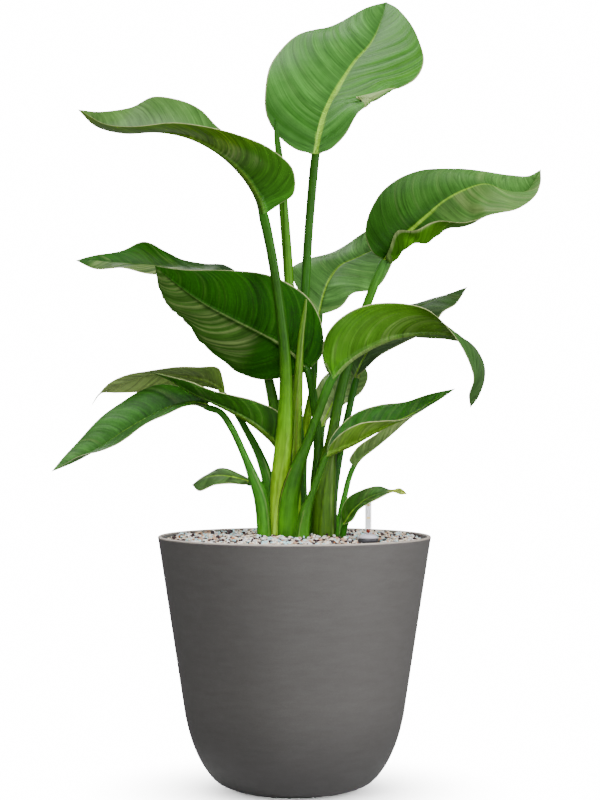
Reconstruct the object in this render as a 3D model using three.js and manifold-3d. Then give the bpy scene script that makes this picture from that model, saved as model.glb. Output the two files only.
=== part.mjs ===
// Potted giant white bird of paradise (Strelitzia nicolai), a young plant in a round tapering pot.
// Millimetres, +Z up. The origin is on the pot's axis, on the surface that the foot stands on.
// +X is to the plant's right and +Y to its back.

import * as THREE from 'three';
import { mergeVertices } from 'three/addons/utils/BufferGeometryUtils.js';
import Module from 'manifold-3d';

// Driving dimensions of the pot
const RIM_RADIUS = 180;
const POT_HEIGHT = 334.5;
const LIP_WIDTH = 5;
const WALL = 6;
const FLOOR = 8;
const GAP = 0.4;
const ROUND_SIDES = 36;
// The wall's outside from the foot to where the straight taper starts, as [radius, height]
const OUTSIDE = [[64, 0], [84, 4], [103, 13], [120, 33], [132, 57], [139, 78], [144, 99]];
// The wall's inside from the floor to the lip
const INSIDE = [[60, FLOOR], [82, FLOOR + 4], [98, 20], [114, 37], [126, 60], [133, 80], [138, 99],
  [RIM_RADIUS - WALL - 1, POT_HEIGHT - 8]];

// Driving dimensions of what fills the pot
const SOIL_TOP = 317.5;
const GRAVEL_BED = 326.5;
const GRAVEL_TOP = 330.5;
const GRAIN = 14;
const LOOSE_GRAINS = 24;

// Driving dimensions of the water gauge
const GAUGE = new THREE.Vector2(96, -40);
const SHAFT_RADIUS = 11;
const SHAFT_WALL = 1.6;
const SHAFT_BOTTOM = 60;
const SHAFT_TOP = 333;
const RING_RADIUS = 13;
const RING_HEIGHT = 4;
const GAUGE_SIDES = 16;
const SIGHT_RADIUS = 4.3;
const SIGHT_WALL = 1;
const SIGHT_TOP = 393;
const DOME_RADIUS = 12.5;
const DOME_HEIGHT = 8;
const FLOAT_RADIUS = 7.6;
const FLOAT_LENGTH = 46;
const FLOAT_LIFT = 4;
const FLOAT_SIDES = 12;
const ROD_RADIUS = 1.2;
const MARKER_RADIUS = 2.6;
const MARKER_BOTTOM = 341;
const MARKER_LENGTH = 4;

// Driving dimensions of the plant
const BLADE_THICKNESS = 1.3;
const STEM_SIDES = 8;
const STEM_STEP = 48;
const BLADE_STEP = 26;
const HOLE_DEPTH = 3;
// How far a stem runs on towards the midrib's second point, and its size there
const RUN_ON = [[0.5, 0.8], [0.9, 0.35]];
// A blade's bow, its midrib's size beside the stem's, and how its ripple and the midrib's depth fall away
const BOW = 2.4;
const MIDRIB_SIZE = 0.85;
const MIDRIB_TAPER = 0.8;
const RIPPLE_REACH = 2.5;
const RIPPLE_OFFSET = 0.4;
// Where a half blade is bent between midrib and edge, on long leaves and on short ones
const LONG_LEAF = 150;
const LONG_BENDS = [0.38, 0.7, 1];
const SHORT_BENDS = [0.5, 1];

// The plant is laid out as it is seen from the front, from this point:
// across and up are read on the upright plane through the pot's axis, and depth runs away from the eye.
const EYE = new THREE.Vector3(7.3, -2800, 513);

function place([across, up, depth]) {
  const scale = 1 + depth / -EYE.y;
  return new THREE.Vector3(EYE.x + (across - EYE.x) * scale, depth, EYE.z + (up - EYE.z) * scale);
}

// Each leaf has a stem, whose rows are [across, up, depth, half width, half thickness],
// a midrib, and its left and right edges as seen from above with the tip ahead.
// arch is how far each half bows up between midrib and edge, as a share of its width.
// wave is the ripple of the edge: its height, how many ripples, and where they start.
const LEAVES = {
  leaf_left_top: {
    stem: [[-19, 300, 6, 12, 11], [-19, 400, -2, 12.5, 11], [-13, 480, -14, 10, 9.5], [-12, 560, -22, 7.5, 7.5],
      [-20, 640, -24, 6.4, 6.4], [-31, 710, -20, 6.2, 6.2], [-39, 758, -14, 6.2, 6.2]],
    rib: [[-39, 758, -14], [-48, 782, -12], [-68, 812, -8], [-100, 841, -4], [-140, 861, -2], [-180, 868, -2],
      [-225, 866, -6], [-262, 875, -12], [-285, 896, -20]],
    left: [[-20, 771, -20], [-1, 785, -28], [-2, 818, -36], [-30, 843, -40], [-60, 857, -44], [-103, 872, -48],
      [-150, 878, -54], [-205, 874, -56], [-250, 878, -44]],
    right: [[-18, 776, -4], [-8, 800, 6], [-25, 834, 14], [-62, 852, 28], [-100, 872, 40], [-124, 895, 42],
      [-150, 908, 40], [-186, 914, 34], [-216, 899, 26], [-255, 893, 4]],
    arch: [[-0.05, -0.1, -0.1, -0.05], [-0.05, -0.12, -0.1, 0]],
    wave: [1.5, 3, 0.2],
  },
  leaf_right_mid: {
    stem: [[-10, 300, -12, 12, 10], [-7, 380, -14, 13, 10], [4, 424, -16, 9.5, 8.5],
      [17.5, 457, -17, 6.5, 6.5], [29, 490, -17, 6, 6], [48, 543, -16, 5.7, 5.7]],
    rib: [[48, 543, -16], [72, 566, -16], [100, 583, -17], [130, 595, -18], [160, 600, -19], [190, 601, -20],
      [212, 598, -21], [230, 588, -22], [243, 570, -22], [248, 548, -22], [243, 525, -22], [232, 503, -22]],
    left: [[52, 562, -4], [66, 582, 1], [90, 594, 8], [125, 597, 22], [165, 595, 30], [205, 593, 26],
      [232, 584, 16], [249, 562, 4], [251, 540, -6], [243, 517, -16]],
    right: [[40, 552, -22], [36, 575, -28], [43, 601, -34], [62, 622, -38], [95, 638, -40], [140, 641, -44],
      [175, 632, -50], [200, 610, -58], [218, 588, -62], [231, 562, -56], [236, 540, -44], [230, 520, -32]],
    arch: [[0.1, 0.1, 0.1, 0], [-0.05, -0.14, -0.12, 0.1, 0.05]],
    wave: [0.8, 3, 0],
  },
  leaf_right_top: {
    stem: [[40, 300, 2, 15, 12], [40, 400, 2, 14, 11], [49, 460, 6, 8, 8], [60, 520, 12, 7, 7],
      [76, 580, 18, 6.2, 6.2], [96, 640, 20, 5.8, 5.8], [118, 698, 14, 5.4, 5.4]],
    rib: [[118, 698, 14], [132, 717, 10], [152, 738, 6], [175, 758, 3], [200, 778, 2], [228, 792, 2],
      [252, 798, 4], [280, 789, 8], [305, 788, 12], [325, 817, 16]],
    left: [[103, 708, 10], [94, 728, 12], [96, 752, 16], [112, 784, 24], [135, 803, 32], [170, 817, 38],
      [205, 819, 38], [250, 814, 34], [285, 810, 26], [309, 809, 20]],
    right: [[124, 710, 4], [135, 736, -14], [160, 736, -30], [189, 749, -40], [225, 748, -46], [262, 757, -44],
      [292, 764, -36], [317, 782, -20], [325, 799, -2]],
    arch: [[0.05, 0.15, 0.1, 0.05], [-2.6, -2.0, -1.4, -1.0, -0.8, -0.62, -0.25, 0, 0.1, 0.1, 0.05]],
    wave: [1.2, 3, 0],
  },
  leaf_lower_left_front: {
    stem: [[-39, 300, -4, 8.5, 8], [-44, 380, -2, 9, 8], [-56, 415, 0, 6.5, 6], [-66, 440, 2, 4.8, 4.8],
      [-84, 478, 6, 4.6, 4.6], [-98, 497, 9, 4.4, 4.4], [-114, 507, 12, 4.2, 4.2]],
    rib: [[-114, 507, 12], [-132, 510, 13], [-152, 507, 12], [-180, 497, 8], [-220, 475, 2], [-258, 450, -5],
      [-290, 432, -11], [-320, 419, -16]],
    left: [[-124, 506, 2], [-150, 503, -16], [-185, 486, -26], [-222, 463, -30], [-258, 444, -30],
      [-288, 437, -24]],
    right: [[-112, 515, 20], [-128, 524, 30], [-152, 531, 38], [-180, 533, 42], [-206, 525, 40], [-238, 503, 32],
      [-269, 477, 20], [-298, 445, 2]],
    arch: [[0.1], [0.05, 0.1, 0.1, 0.05]],
    wave: [1.5, 3, 0],
  },
  leaf_dark_left: {
    stem: [[27, 300, 16, 8, 8], [28, 400, 14, 7.5, 7.5],
      [31.5, 450, 12, 6.5, 6.5], [25.5, 512, 5, 5.5, 5.5], [18, 552, 0, 5.2, 5.2]],
    rib: [[18, 552, 0], [0, 573, 4], [-25, 591, 5], [-55, 607, 2], [-85, 622, -4], [-118, 640, -10],
      [-150, 662, -18], [-184, 690, -28]],
    left: [[36, 572, -2], [38, 600, 0], [32, 625, 3], [18, 648, 5], [-5, 665, 3], [-35, 678, -2], [-80, 684, -14],
      [-145, 685, -24]],
    right: [[4, 546, 10], [-20, 542, 18], [-42, 540, 25], [-68, 546, 28], [-92, 563, 28], [-118, 584, 24],
      [-140, 612, 14], [-165, 636, 0], [-180, 665, -14]],
    arch: [[0.02, -0.08, -0.08, -0.05], [-0.05, -0.1, -0.1, -0.05]],
    wave: [1.6, 4, 0],
  },
  leaf_top: {
    stem: [[12, 300, 34, 7, 7], [10, 400, 36, 6.5, 6.5], [4.5, 520, 32, 6, 6], [13, 640, 28, 5.9, 5.9],
      [19, 740, 26, 5.7, 5.7], [27.5, 838, 20, 5.4, 5.4]],
    rib: [[27.5, 838, 20], [36, 880, 34], [47, 907, 50], [62, 933, 70], [80, 960, 94], [99, 981, 118],
      [110, 1002, 146], [121, 1038, 184]],
    left: [[4, 842, 18], [-20, 860, 25], [-37, 890, 34], [-39, 920, 46], [-31, 957, 66], [-3, 990, 96],
      [45, 1006, 130], [95, 1030, 164]],
    right: [[44, 842, 16], [66, 862, 22], [85, 891, 30], [107, 905, 44], [130, 921, 58], [160, 935, 76],
      [171, 962, 98], [160, 997, 130], [136, 1030, 166]],
    arch: [[0.05, 0.12, 0.12, 0.1], [0.05, 0.1, 0.16, 0.1]],
    wave: [2.5, 3.5, 0],
  },
  leaf_front_right: {
    stem: [[9, 300, -34, 9, 7], [13, 360, -34, 8, 6.5], [22.5, 388, -34, 4.8, 4.8], [32.5, 416, -34, 4.2, 4.2],
      [42, 441, -34, 4, 4]],
    rib: [[42, 441, -34], [60, 448, -38], [80, 457, -42], [102, 469, -46], [126, 481, -48], [152, 493, -50],
      [182, 511, -50], [212, 528, -50]],
    left: [[46, 458, -28], [60, 479, -22], [82, 497, -20], [112, 506, -22], [145, 511, -28], [175, 520, -38]],
    right: [[48, 455, -42], [64, 471, -52], [88, 482, -60], [118, 486, -64], [148, 489, -62], [180, 506, -56]],
    arch: [[-0.08, -0.1, -0.05], [-0.15, -0.15, -0.1]],
    wave: [0.8, 2.5, 0],
  },
  leaf_lower_left_inner: {
    stem: [[-6, 300, 24, 6, 6], [-7, 370, 22, 5.4, 5.4], [-8, 410, 12, 5, 5], [-12, 438, 4, 4.8, 4.8]],
    rib: [[-12, 438, 4], [-30, 461, 0], [-60, 485, -6], [-85, 499, -9], [-110, 511, -12], [-140, 525, -14],
      [-165, 540, -14], [-190, 550, -14]],
    left: [[-4, 456, 2], [-8, 482, -1], [-23, 499, -5], [-50, 511, -14], [-82, 520, -22], [-112, 527, -25],
      [-140, 538, -22]],
    right: [[-4, 460, 14], [-14, 484, 22], [-40, 502, 26], [-80, 513, 24], [-112, 523, 16], [-142, 538, 4]],
    arch: [[-0.12], [-0.12]],
    wave: [0.8, 3, 0],
  },
  leaf_lower_left_back: {
    stem: [[-28, 300, 28, 8, 8], [-34, 400, 30, 8, 7.5], [-46, 440, 34, 6, 6], [-66, 478, 42, 4.6, 4.6],
      [-80, 502, 48, 4.4, 4.4], [-91, 520, 54, 4.2, 4.2]],
    rib: [[-91, 520, 54], [-102, 532, 57], [-120, 540, 58], [-150, 546, 58], [-185, 548, 56], [-215, 539, 54],
      [-243, 529, 52], [-258, 520, 51], [-267, 507, 50]],
    left: [[-94, 537, 44], [-101, 556, 34], [-130, 557, 30], [-165, 555, 28], [-190, 553, 29], [-225, 544, 34],
      [-250, 531, 43]],
    right: [[-99, 526, 66], [-122, 531, 76], [-160, 530, 80], [-200, 523, 76], [-235, 523, 66], [-256, 521, 58]],
    arch: [[-0.1], [0.15]],
    wave: [1.2, 3, 0],
  },
  leaf_left_far: {
    stem: [[-8, 300, 42, 9, 8], [-14, 420, 44, 8, 8], [-24, 490, 48, 8, 7], [-34, 540, 52, 6.4, 5.5],
      [-50, 610, 62, 5, 5], [-70, 667, 74, 4.8, 4.8]],
    rib: [[-70, 667, 74], [-95, 680, 74], [-130, 685, 73], [-165, 689, 71], [-205, 692, 66], [-240, 695, 60],
      [-270, 698, 52], [-288, 697, 46]],
    left: [[-76, 664, 62], [-105, 670, 44], [-150, 677, 34], [-190, 680, 30], [-225, 686, 32], [-262, 686, 38]],
    right: [[-74, 680, 86], [-93, 692, 98], [-118, 692, 108], [-145, 698, 110], [-172, 711, 106],
      [-198, 721, 98], [-226, 711, 86], [-262, 704, 64]],
    arch: [[0.05, 0.1, 0.1, 0.05], [-0.05, -0.1, -0.1, 0]],
    wave: [1.2, 3, 0],
  },
  leaf_behind_right: {
    stem: [[10, 300, 50, 7, 7], [9, 400, 52, 7, 7], [14, 475, 52, 6, 6], [24, 528, 50, 4.8, 4.8],
      [28, 580, 48, 4.6, 4.6], [32, 625, 45, 4.6, 4.6]],
    rib: [[32, 625, 45], [37, 648, 50], [45, 670, 58], [60, 690, 68], [85, 702, 80], [112, 716, 92],
      [138, 738, 104], [152, 760, 112]],
    left: [[14, 645, 50], [0, 668, 60], [-4, 687, 70], [13, 696, 80], [40, 705, 90], [70, 720, 100],
      [100, 738, 108], [130, 752, 112]],
    right: [[46, 629, 38], [62, 637, 34], [76, 652, 36], [98, 657, 44], [114, 667, 56], [126, 686, 70],
      [136, 710, 86], [147, 738, 102]],
    arch: [[0.05, 0.12, 0.1, 0.05], [0.05, 0.12, 0.1, 0.05]],
    wave: [2, 3, 0],
  },
  leaf_right_behind: {
    stem: [[51, 300, 23, 7, 7], [50.5, 380, 25, 6.3, 6.3], [62, 455, 30, 5, 5], [72, 500, 35, 4.6, 4.6],
      [79, 542, 40, 4.4, 4.4]],
    rib: [[79, 542, 40], [90, 565, 46], [105, 588, 52], [130, 612, 58], [160, 633, 62], [195, 649, 64],
      [228, 662, 66]],
    left: [[71, 560, 48], [76, 585, 58], [95, 612, 66], [125, 632, 70], [158, 641, 72], [195, 650, 70]],
    right: [[90, 551, 32], [108, 567, 28], [132, 583, 28], [158, 594, 32], [183, 610, 38], [197, 629, 46],
      [214, 641, 56]],
    arch: [[0.05, 0.1, 0.1, 0.05], [0.05, 0.12, 0.1, 0]],
    wave: [1.2, 4, 0],
  },
  leaf_low_behind: {
    stem: [[36, 300, 36, 5, 5], [35, 380, 40, 4.5, 4.5], [34, 430, 46, 4, 4], [36, 478, 54, 3.8, 3.8]],
    rib: [[36, 478, 54], [46, 500, 62], [60, 525, 72], [74, 548, 82], [88, 566, 92]],
    left: [[26, 495, 60], [26, 520, 74], [40, 545, 86], [62, 560, 94]],
    right: [[50, 494, 54], [72, 511, 60], [90, 526, 72], [97, 546, 84]],
    arch: [[0.1], [0.1]],
    wave: [1.2, 2.5, 0],
  },
  leaf_left_low: {
    stem: [[-22, 300, 50, 5, 5], [-22, 360, 50, 4.5, 4.5], [-28, 395, 46, 4, 4], [-42, 402, 40, 3.8, 3.8],
      [-58, 406, 34, 3.6, 3.6]],
    rib: [[-58, 406, 34], [-80, 411, 28], [-100, 413, 24], [-118, 410, 21], [-135, 401, 18]],
    left: [[-65, 401, 26], [-85, 403, 12], [-105, 400, 8], [-126, 393, 10]],
    right: [[-62, 411, 42], [-82, 420, 42], [-100, 423, 38], [-118, 414, 30]],
    arch: [[0.1], [0.1]],
    wave: [0.8, 2, 0],
  },
  leaf_right_low: {
    stem: [[60, 300, -4, 7.5, 7], [61, 355, -6, 5.5, 5.5], [66, 385, -8, 4, 4], [72, 410, -8, 3.6, 3.6],
      [77, 426, -8, 3.4, 3.4]],
    rib: [[77, 426, -8], [88, 438, -8], [108, 453, -6], [128, 469, -4], [148, 486, -2], [167, 500, 0]],
    left: [[78, 440, 4], [94, 457, 14], [118, 474, 18], [145, 489, 12]],
    right: [[72, 434, -16], [80, 447, -22], [102, 465, -24], [126, 480, -18], [148, 491, -8]],
    arch: [[-0.1], [-0.15]],
    wave: [0.8, 3, 0],
  },
  leaf_right_bottom: {
    stem: [[62, 300, -24, 5, 5], [62, 325, -27, 4.5, 4.5], [64, 348, -34, 3.8, 3.8]],
    rib: [[64, 348, -34], [76, 366, -48], [92, 381, -62], [110, 389, -72], [126, 393, -76], [138, 394, -78],
      [148, 389, -80]],
    left: [[62, 364, -32], [70, 384, -40], [90, 395, -52], [112, 399, -62], [128, 395, -70], [139, 397, -71],
      [145, 393, -74]],
    right: [[76, 354, -48], [84, 366, -60], [98, 376, -74], [114, 385, -82], [130, 391, -82], [140, 388, -82]],
    arch: [[0.1], [0.1]],
    wave: [0.8, 2, 0],
  },
};

// New leaves that are still rolled up, in rows like a stem's
const ROLLED_LEAVES = {
  new_leaf_short: [[2, 300, 6, 6.5, 6.5], [2, 440, 4, 6, 6], [4, 520, -2, 6.5, 6.5], [6, 560, -8, 5, 5],
    [9, 600, -10, 3.6, 3.6], [13, 630, -10, 2.2, 2.2], [15, 646, -10, 0.8, 0.8]],
  new_leaf_tall: [[0, 300, 36, 6, 6], [-2, 440, 40, 6.5, 6.5], [-3, 560, 36, 6.5, 6.5], [-8, 680, 32, 6.4, 6.4],
    [-14, 760, 29, 6, 6], [-20, 830, 24, 4.6, 4.6], [-24, 865, 19, 3, 3], [-25.5, 884, 16, 0.8, 0.8]],
};

const LEAF_COLOUR = 0x4f7f3a;
const STEM_COLOUR = 0x79a63a;

const wasm = await Module();
wasm.setup();

function toSolid(geometry) {
  const plain = new THREE.BufferGeometry();
  plain.setAttribute('position', geometry.getAttribute('position').clone());
  plain.setIndex(geometry.getIndex());
  const merged = mergeVertices(plain, 1e-4);
  return new wasm.Manifold(new wasm.Mesh({
    numProp: 3,
    vertProperties: new Float32Array(merged.getAttribute('position').array),
    triVerts: new Uint32Array(merged.getIndex().array),
  }));
}

function toGeometry(solid) {
  const mesh = solid.getMesh();
  const geometry = new THREE.BufferGeometry();
  geometry.setAttribute('position', new THREE.BufferAttribute(new Float32Array(mesh.vertProperties), 3));
  geometry.setIndex(new THREE.BufferAttribute(new Uint32Array(mesh.triVerts), 1));
  geometry.computeVertexNormals();
  return geometry;
}

function largestBody(solid) {
  const bodies = solid.decompose();
  return bodies.reduce((best, body) => (body.volume() > best.volume() ? body : best));
}

function closedGeometry(points, triangles) {
  const geometry = new THREE.BufferGeometry();
  geometry.setAttribute('position', new THREE.Float32BufferAttribute(points.flatMap((p) => [p.x, p.y, p.z]), 3));
  geometry.setIndex(triangles.flat());
  return geometry;
}

function lathe(profile, sides = ROUND_SIDES) {
  const turned = new THREE.LatheGeometry(profile.map(([r, z]) => new THREE.Vector2(r, z)), sides);
  turned.rotateX(Math.PI / 2);
  return turned;
}

// A sweep of an oval along a stem's rows, from its foot to its last row, closed by flat ends
function sweep(rows, grow = 0) {
  const knots = rows.map(place);
  const path = new THREE.CatmullRomCurve3(knots, false, 'centripetal');
  const steps = Math.max(5, Math.round(path.getLength() / STEM_STEP));
  const sides = STEM_SIDES;
  const lengths = knots.map(() => 0);
  for (let i = 1; i < knots.length; i += 1) lengths[i] = lengths[i - 1] + knots[i].distanceTo(knots[i - 1]);
  const points = [];
  for (let i = 0; i <= steps; i += 1) {
    const centre = path.getPointAt(i / steps);
    const along = path.getTangentAt(i / steps);
    const wide = new THREE.Vector3(1, 0, 0).addScaledVector(along, -along.x).normalize();
    const thick = new THREE.Vector3().crossVectors(along, wide);
    const reach = (i / steps) * lengths.at(-1);
    let k = 0;
    while (k < rows.length - 2 && lengths[k + 1] < reach) k += 1;
    const share = THREE.MathUtils.clamp((reach - lengths[k]) / (lengths[k + 1] - lengths[k]), 0, 1);
    const halfWidth = THREE.MathUtils.lerp(rows[k][3], rows[k + 1][3], share) + grow;
    const halfThick = THREE.MathUtils.lerp(rows[k][4], rows[k + 1][4], share) + grow;
    for (let j = 0; j < sides; j += 1) {
      const turn = (2 * Math.PI * j) / sides;
      points.push(centre.clone()
        .addScaledVector(wide, Math.cos(turn) * halfWidth)
        .addScaledVector(thick, Math.sin(turn) * halfThick));
    }
  }
  const triangles = [];
  for (let i = 0; i < steps; i += 1) {
    for (let j = 0; j < sides; j += 1) {
      const a = i * sides + j;
      const b = i * sides + ((j + 1) % sides);
      triangles.push([a, b, b + sides], [a, b + sides, a + sides]);
    }
  }
  for (let j = 1; j < sides - 1; j += 1) {
    triangles.push([0, j + 1, j]);
    const last = steps * sides;
    triangles.push([last, last + j, last + j + 1]);
  }
  return closedGeometry(points, triangles);
}

function smoothList(values, t) {
  if (values.length === 1) return values[0];
  const x = t * (values.length - 1);
  const i = Math.min(Math.floor(x), values.length - 2);
  return THREE.MathUtils.lerp(values[i], values[i + 1], THREE.MathUtils.smoothstep(x - i, 0, 1));
}

// A leaf's blade: both halves span from midrib to edge, bowed and rippled, with the midrib raised below
function blade(leaf) {
  const tip = leaf.rib.at(-1);
  const root = leaf.rib[0];
  const curve = (points) => new THREE.CatmullRomCurve3(points.map(place), false, 'centripetal');
  const rib = curve(leaf.rib);
  const edges = [curve([root, ...leaf.left, tip]), curve([root, ...leaf.right, tip])];
  const rows = Math.max(6, Math.round(rib.getLength() / BLADE_STEP));
  const [height, ripples, start] = leaf.wave;
  const ribRadius = leaf.stem.at(-1)[3];
  const shares = rib.getLength() > LONG_LEAF ? LONG_BENDS : SHORT_BENDS;
  const upper = [];
  const lower = [];
  for (let i = 0; i <= rows; i += 1) {
    const t = i / rows;
    const centre = rib.getPointAt(t);
    const along = rib.getTangentAt(t);
    const radius = MIDRIB_SIZE * ribRadius * (1 - t) ** MIDRIB_TAPER;
    const halves = edges.map((edge, side) => {
      const across = edge.getPointAt(t).sub(centre);
      const outward = side === 0 ? -1 : 1;
      const up = new THREE.Vector3().crossVectors(across, along).multiplyScalar(outward);
      if (up.lengthSq() < 1e-6) up.set(0, 0, 1);
      up.normalize();
      const width = across.length();
      const swell = Math.sqrt(Math.sin(Math.PI * t));
      const ripple = height * swell * Math.sin(2 * Math.PI * (ripples * t + start + RIPPLE_OFFSET * side));
      const bow = BOW * smoothList(leaf.arch[side], t) * width;
      const ridge = width > 0 ? Math.min(0.3, (radius + 0.8) / width) : 0;
      return [ridge, ...shares].map((s) => {
        const lift = bow * s * (1 - s) + ripple * s ** RIPPLE_REACH;
        return { point: centre.clone().addScaledVector(across, s).addScaledVector(up, lift), up };
      });
    });
    const middleUp = halves[0][0].up.clone().add(halves[1][0].up).normalize();
    const row = [...halves[0].reverse(), { point: centre, up: middleUp, radius }, ...halves[1]];
    upper.push(row.map(({ point, up }) => point.clone().addScaledVector(up, BLADE_THICKNESS / 2)));
    lower.push(row.map(({ point, up, radius: depth = 0 }) => (
      point.clone().addScaledVector(up, -BLADE_THICKNESS / 2 - depth))));
  }
  return closedGrid(upper, lower);
}

// A thin closed body between two like grids whose first and last rows each shrink to a point
function closedGrid(upper, lower) {
  const points = [];
  const number = (grid) => grid.map((row, i) => {
    const pinched = i === 0 || i === grid.length - 1;
    if (!pinched) return row.map((p) => points.push(p) - 1);
    const only = points.push(row[(row.length - 1) / 2]) - 1;
    return row.map(() => only);
  });
  const top = number(upper);
  const bottom = number(lower);
  const triangles = [];
  const add = (a, b, c) => {
    if (a !== b && b !== c && a !== c) triangles.push([a, b, c]);
  };
  const last = top[0].length - 1;
  for (let i = 0; i < top.length - 1; i += 1) {
    for (let j = 0; j < last; j += 1) {
      add(top[i][j], top[i][j + 1], top[i + 1][j + 1]);
      add(top[i][j], top[i + 1][j + 1], top[i + 1][j]);
      add(bottom[i][j], bottom[i + 1][j + 1], bottom[i][j + 1]);
      add(bottom[i][j], bottom[i + 1][j], bottom[i + 1][j + 1]);
    }
    add(top[i][0], top[i + 1][0], bottom[i + 1][0]);
    add(top[i][0], bottom[i + 1][0], bottom[i][0]);
    add(top[i][last], bottom[i + 1][last], top[i + 1][last]);
    add(top[i][last], bottom[i][last], bottom[i + 1][last]);
  }
  return closedGeometry(points, triangles);
}

// The stem's rows, run on into the start of the midrib so that the two grow together
function stemRows(leaf) {
  const [a, b] = leaf.rib;
  const [halfWidth, halfThick] = leaf.stem.at(-1).slice(3);
  const runOn = (share, size) => [...a.map((v, i) => v + (b[i] - v) * share), halfWidth * size, halfThick * size];
  return [...leaf.stem, ...RUN_ON.map(([share, size]) => runOn(share, size))];
}

// The pot, a thin wall all round with a flat foot and a narrow rounded lip
function potSolid() {
  const outerLip = [[RIM_RADIUS - 1, POT_HEIGHT - 6], [RIM_RADIUS, POT_HEIGHT - 2], [RIM_RADIUS - 1, POT_HEIGHT]];
  const innerLip = [[RIM_RADIUS - LIP_WIDTH, POT_HEIGHT], [RIM_RADIUS - LIP_WIDTH - 1, POT_HEIGHT - 4]];
  return toSolid(lathe([[0, 0], ...OUTSIDE, ...outerLip, ...innerLip, ...INSIDE.toReversed(), [0, FLOOR]]));
}

// The radius that what fills the pot has at a height, clear of the wall
function fillRadius(height) {
  const above = Math.max(1, INSIDE.findIndex(([, z]) => z >= height));
  const [[r0, z0], [r1, z1]] = INSIDE.slice(above - 1, above + 1);
  return THREE.MathUtils.lerp(r0, r1, (height - z0) / (z1 - z0)) - GAP;
}

function soilSolid() {
  const bottom = FLOOR + GAP;
  const bends = INSIDE.filter(([, z]) => z > bottom && z < SOIL_TOP).map(([, z]) => z);
  const side = [bottom, ...bends, SOIL_TOP].map((z) => [fillRadius(z), z]);
  return toSolid(lathe([[0, bottom], ...side, [0, SOIL_TOP]]));
}

function seededRandom(seed) {
  let state = seed;
  return () => {
    state = (state * 1664525 + 1013904223) % 4294967296;
    return state / 4294967296;
  };
}

// Gravel: a bed whose top is heaped into grains, with loose grains standing out of it
function gravelSolid() {
  const random = seededRandom(7);
  const underside = SOIL_TOP + GAP;
  const radius = fillRadius(GRAVEL_BED);
  const cells = Math.ceil((2 * radius) / GRAIN) + 1;
  const points = [];
  const triangles = [];
  const corner = (i, j, layer) => 2 * (i * (cells + 1) + j) + layer;
  for (let i = 0; i <= cells; i += 1) {
    for (let j = 0; j <= cells; j += 1) {
      const x = (i - cells / 2 + 0.5 * (random() - 0.5)) * GRAIN;
      const y = (j - cells / 2 + 0.5 * (random() - 0.5)) * GRAIN;
      const heap = GRAVEL_BED + 2 * (GRAVEL_TOP - GRAVEL_BED) * random();
      points.push(new THREE.Vector3(x, y, 0), new THREE.Vector3(x, y, heap));
    }
  }
  for (let i = 0; i < cells; i += 1) {
    for (let j = 0; j < cells; j += 1) {
      const [a, b, c, d] = [[i, j], [i + 1, j], [i + 1, j + 1], [i, j + 1]];
      for (const [p, q, r] of [[a, b, c], [a, c, d]]) {
        triangles.push([corner(...p, 1), corner(...q, 1), corner(...r, 1)]);
        triangles.push([corner(...p, 0), corner(...r, 0), corner(...q, 0)]);
      }
    }
    for (const [p, q] of [[[i, 0], [i + 1, 0]], [[cells, i], [cells, i + 1]],
      [[i + 1, cells], [i, cells]], [[0, i + 1], [0, i]]]) {
      triangles.push([corner(...p, 0), corner(...q, 0), corner(...q, 1)]);
      triangles.push([corner(...p, 0), corner(...q, 1), corner(...p, 1)]);
    }
  }
  let heaped = toSolid(closedGeometry(points, triangles));
  for (let i = 0; i < LOOSE_GRAINS; i += 1) {
    const distance = (radius - GRAIN) * Math.sqrt(random());
    const turn = 2 * Math.PI * random();
    const grain = new THREE.OctahedronGeometry(GRAIN * (0.5 + 0.2 * random()));
    grain.rotateX(3 * random());
    grain.rotateZ(3 * random());
    grain.scale(1, 1, 0.75);
    grain.translate(distance * Math.cos(turn), distance * Math.sin(turn), GRAVEL_TOP);
    heaped = heaped.add(toSolid(grain));
  }
  const inPot = toSolid(lathe([[0, underside], [fillRadius(underside), underside], [radius, GRAVEL_BED],
    [radius, POT_HEIGHT + GRAIN], [0, POT_HEIGHT + GRAIN]]));
  return heaped.intersect(inPot);
}

// The gauge's turned pieces share one upright axis
function onGauge(profile, sides) {
  return toSolid(lathe(profile, sides).translate(GAUGE.x, GAUGE.y, 0));
}

// The shaft is closed below and has a ring round its mouth
function shaftSolid() {
  const bore = SHAFT_RADIUS - SHAFT_WALL;
  const inside = SHAFT_BOTTOM + SHAFT_WALL;
  return onGauge([[0, SHAFT_BOTTOM], [SHAFT_RADIUS, SHAFT_BOTTOM], [SHAFT_RADIUS, SHAFT_TOP - RING_HEIGHT - 1],
    [RING_RADIUS, SHAFT_TOP - RING_HEIGHT], [RING_RADIUS, SHAFT_TOP], [bore, SHAFT_TOP],
    [bore, inside], [0, inside]], GAUGE_SIDES);
}

// The clear tube, open below and closed above, on a low domed foot
function sightSolid() {
  const bore = SIGHT_RADIUS - SIGHT_WALL;
  const bottom = SHAFT_TOP + GAP;
  const shoulder = bottom + DOME_HEIGHT;
  return onGauge([[bore, bottom], [DOME_RADIUS, bottom], [DOME_RADIUS - 1, bottom + 0.3 * DOME_HEIGHT],
    [0.65 * DOME_RADIUS, bottom + 0.7 * DOME_HEIGHT], [SIGHT_RADIUS + 0.8, shoulder], [SIGHT_RADIUS, shoulder + 1],
    [SIGHT_RADIUS, SIGHT_TOP - 2 * SIGHT_WALL], [0.7 * SIGHT_RADIUS, SIGHT_TOP], [0, SIGHT_TOP],
    [0, SIGHT_TOP - 2 * SIGHT_WALL], [bore, SIGHT_TOP - 3 * SIGHT_WALL], [bore, bottom]], GAUGE_SIDES);
}

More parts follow.
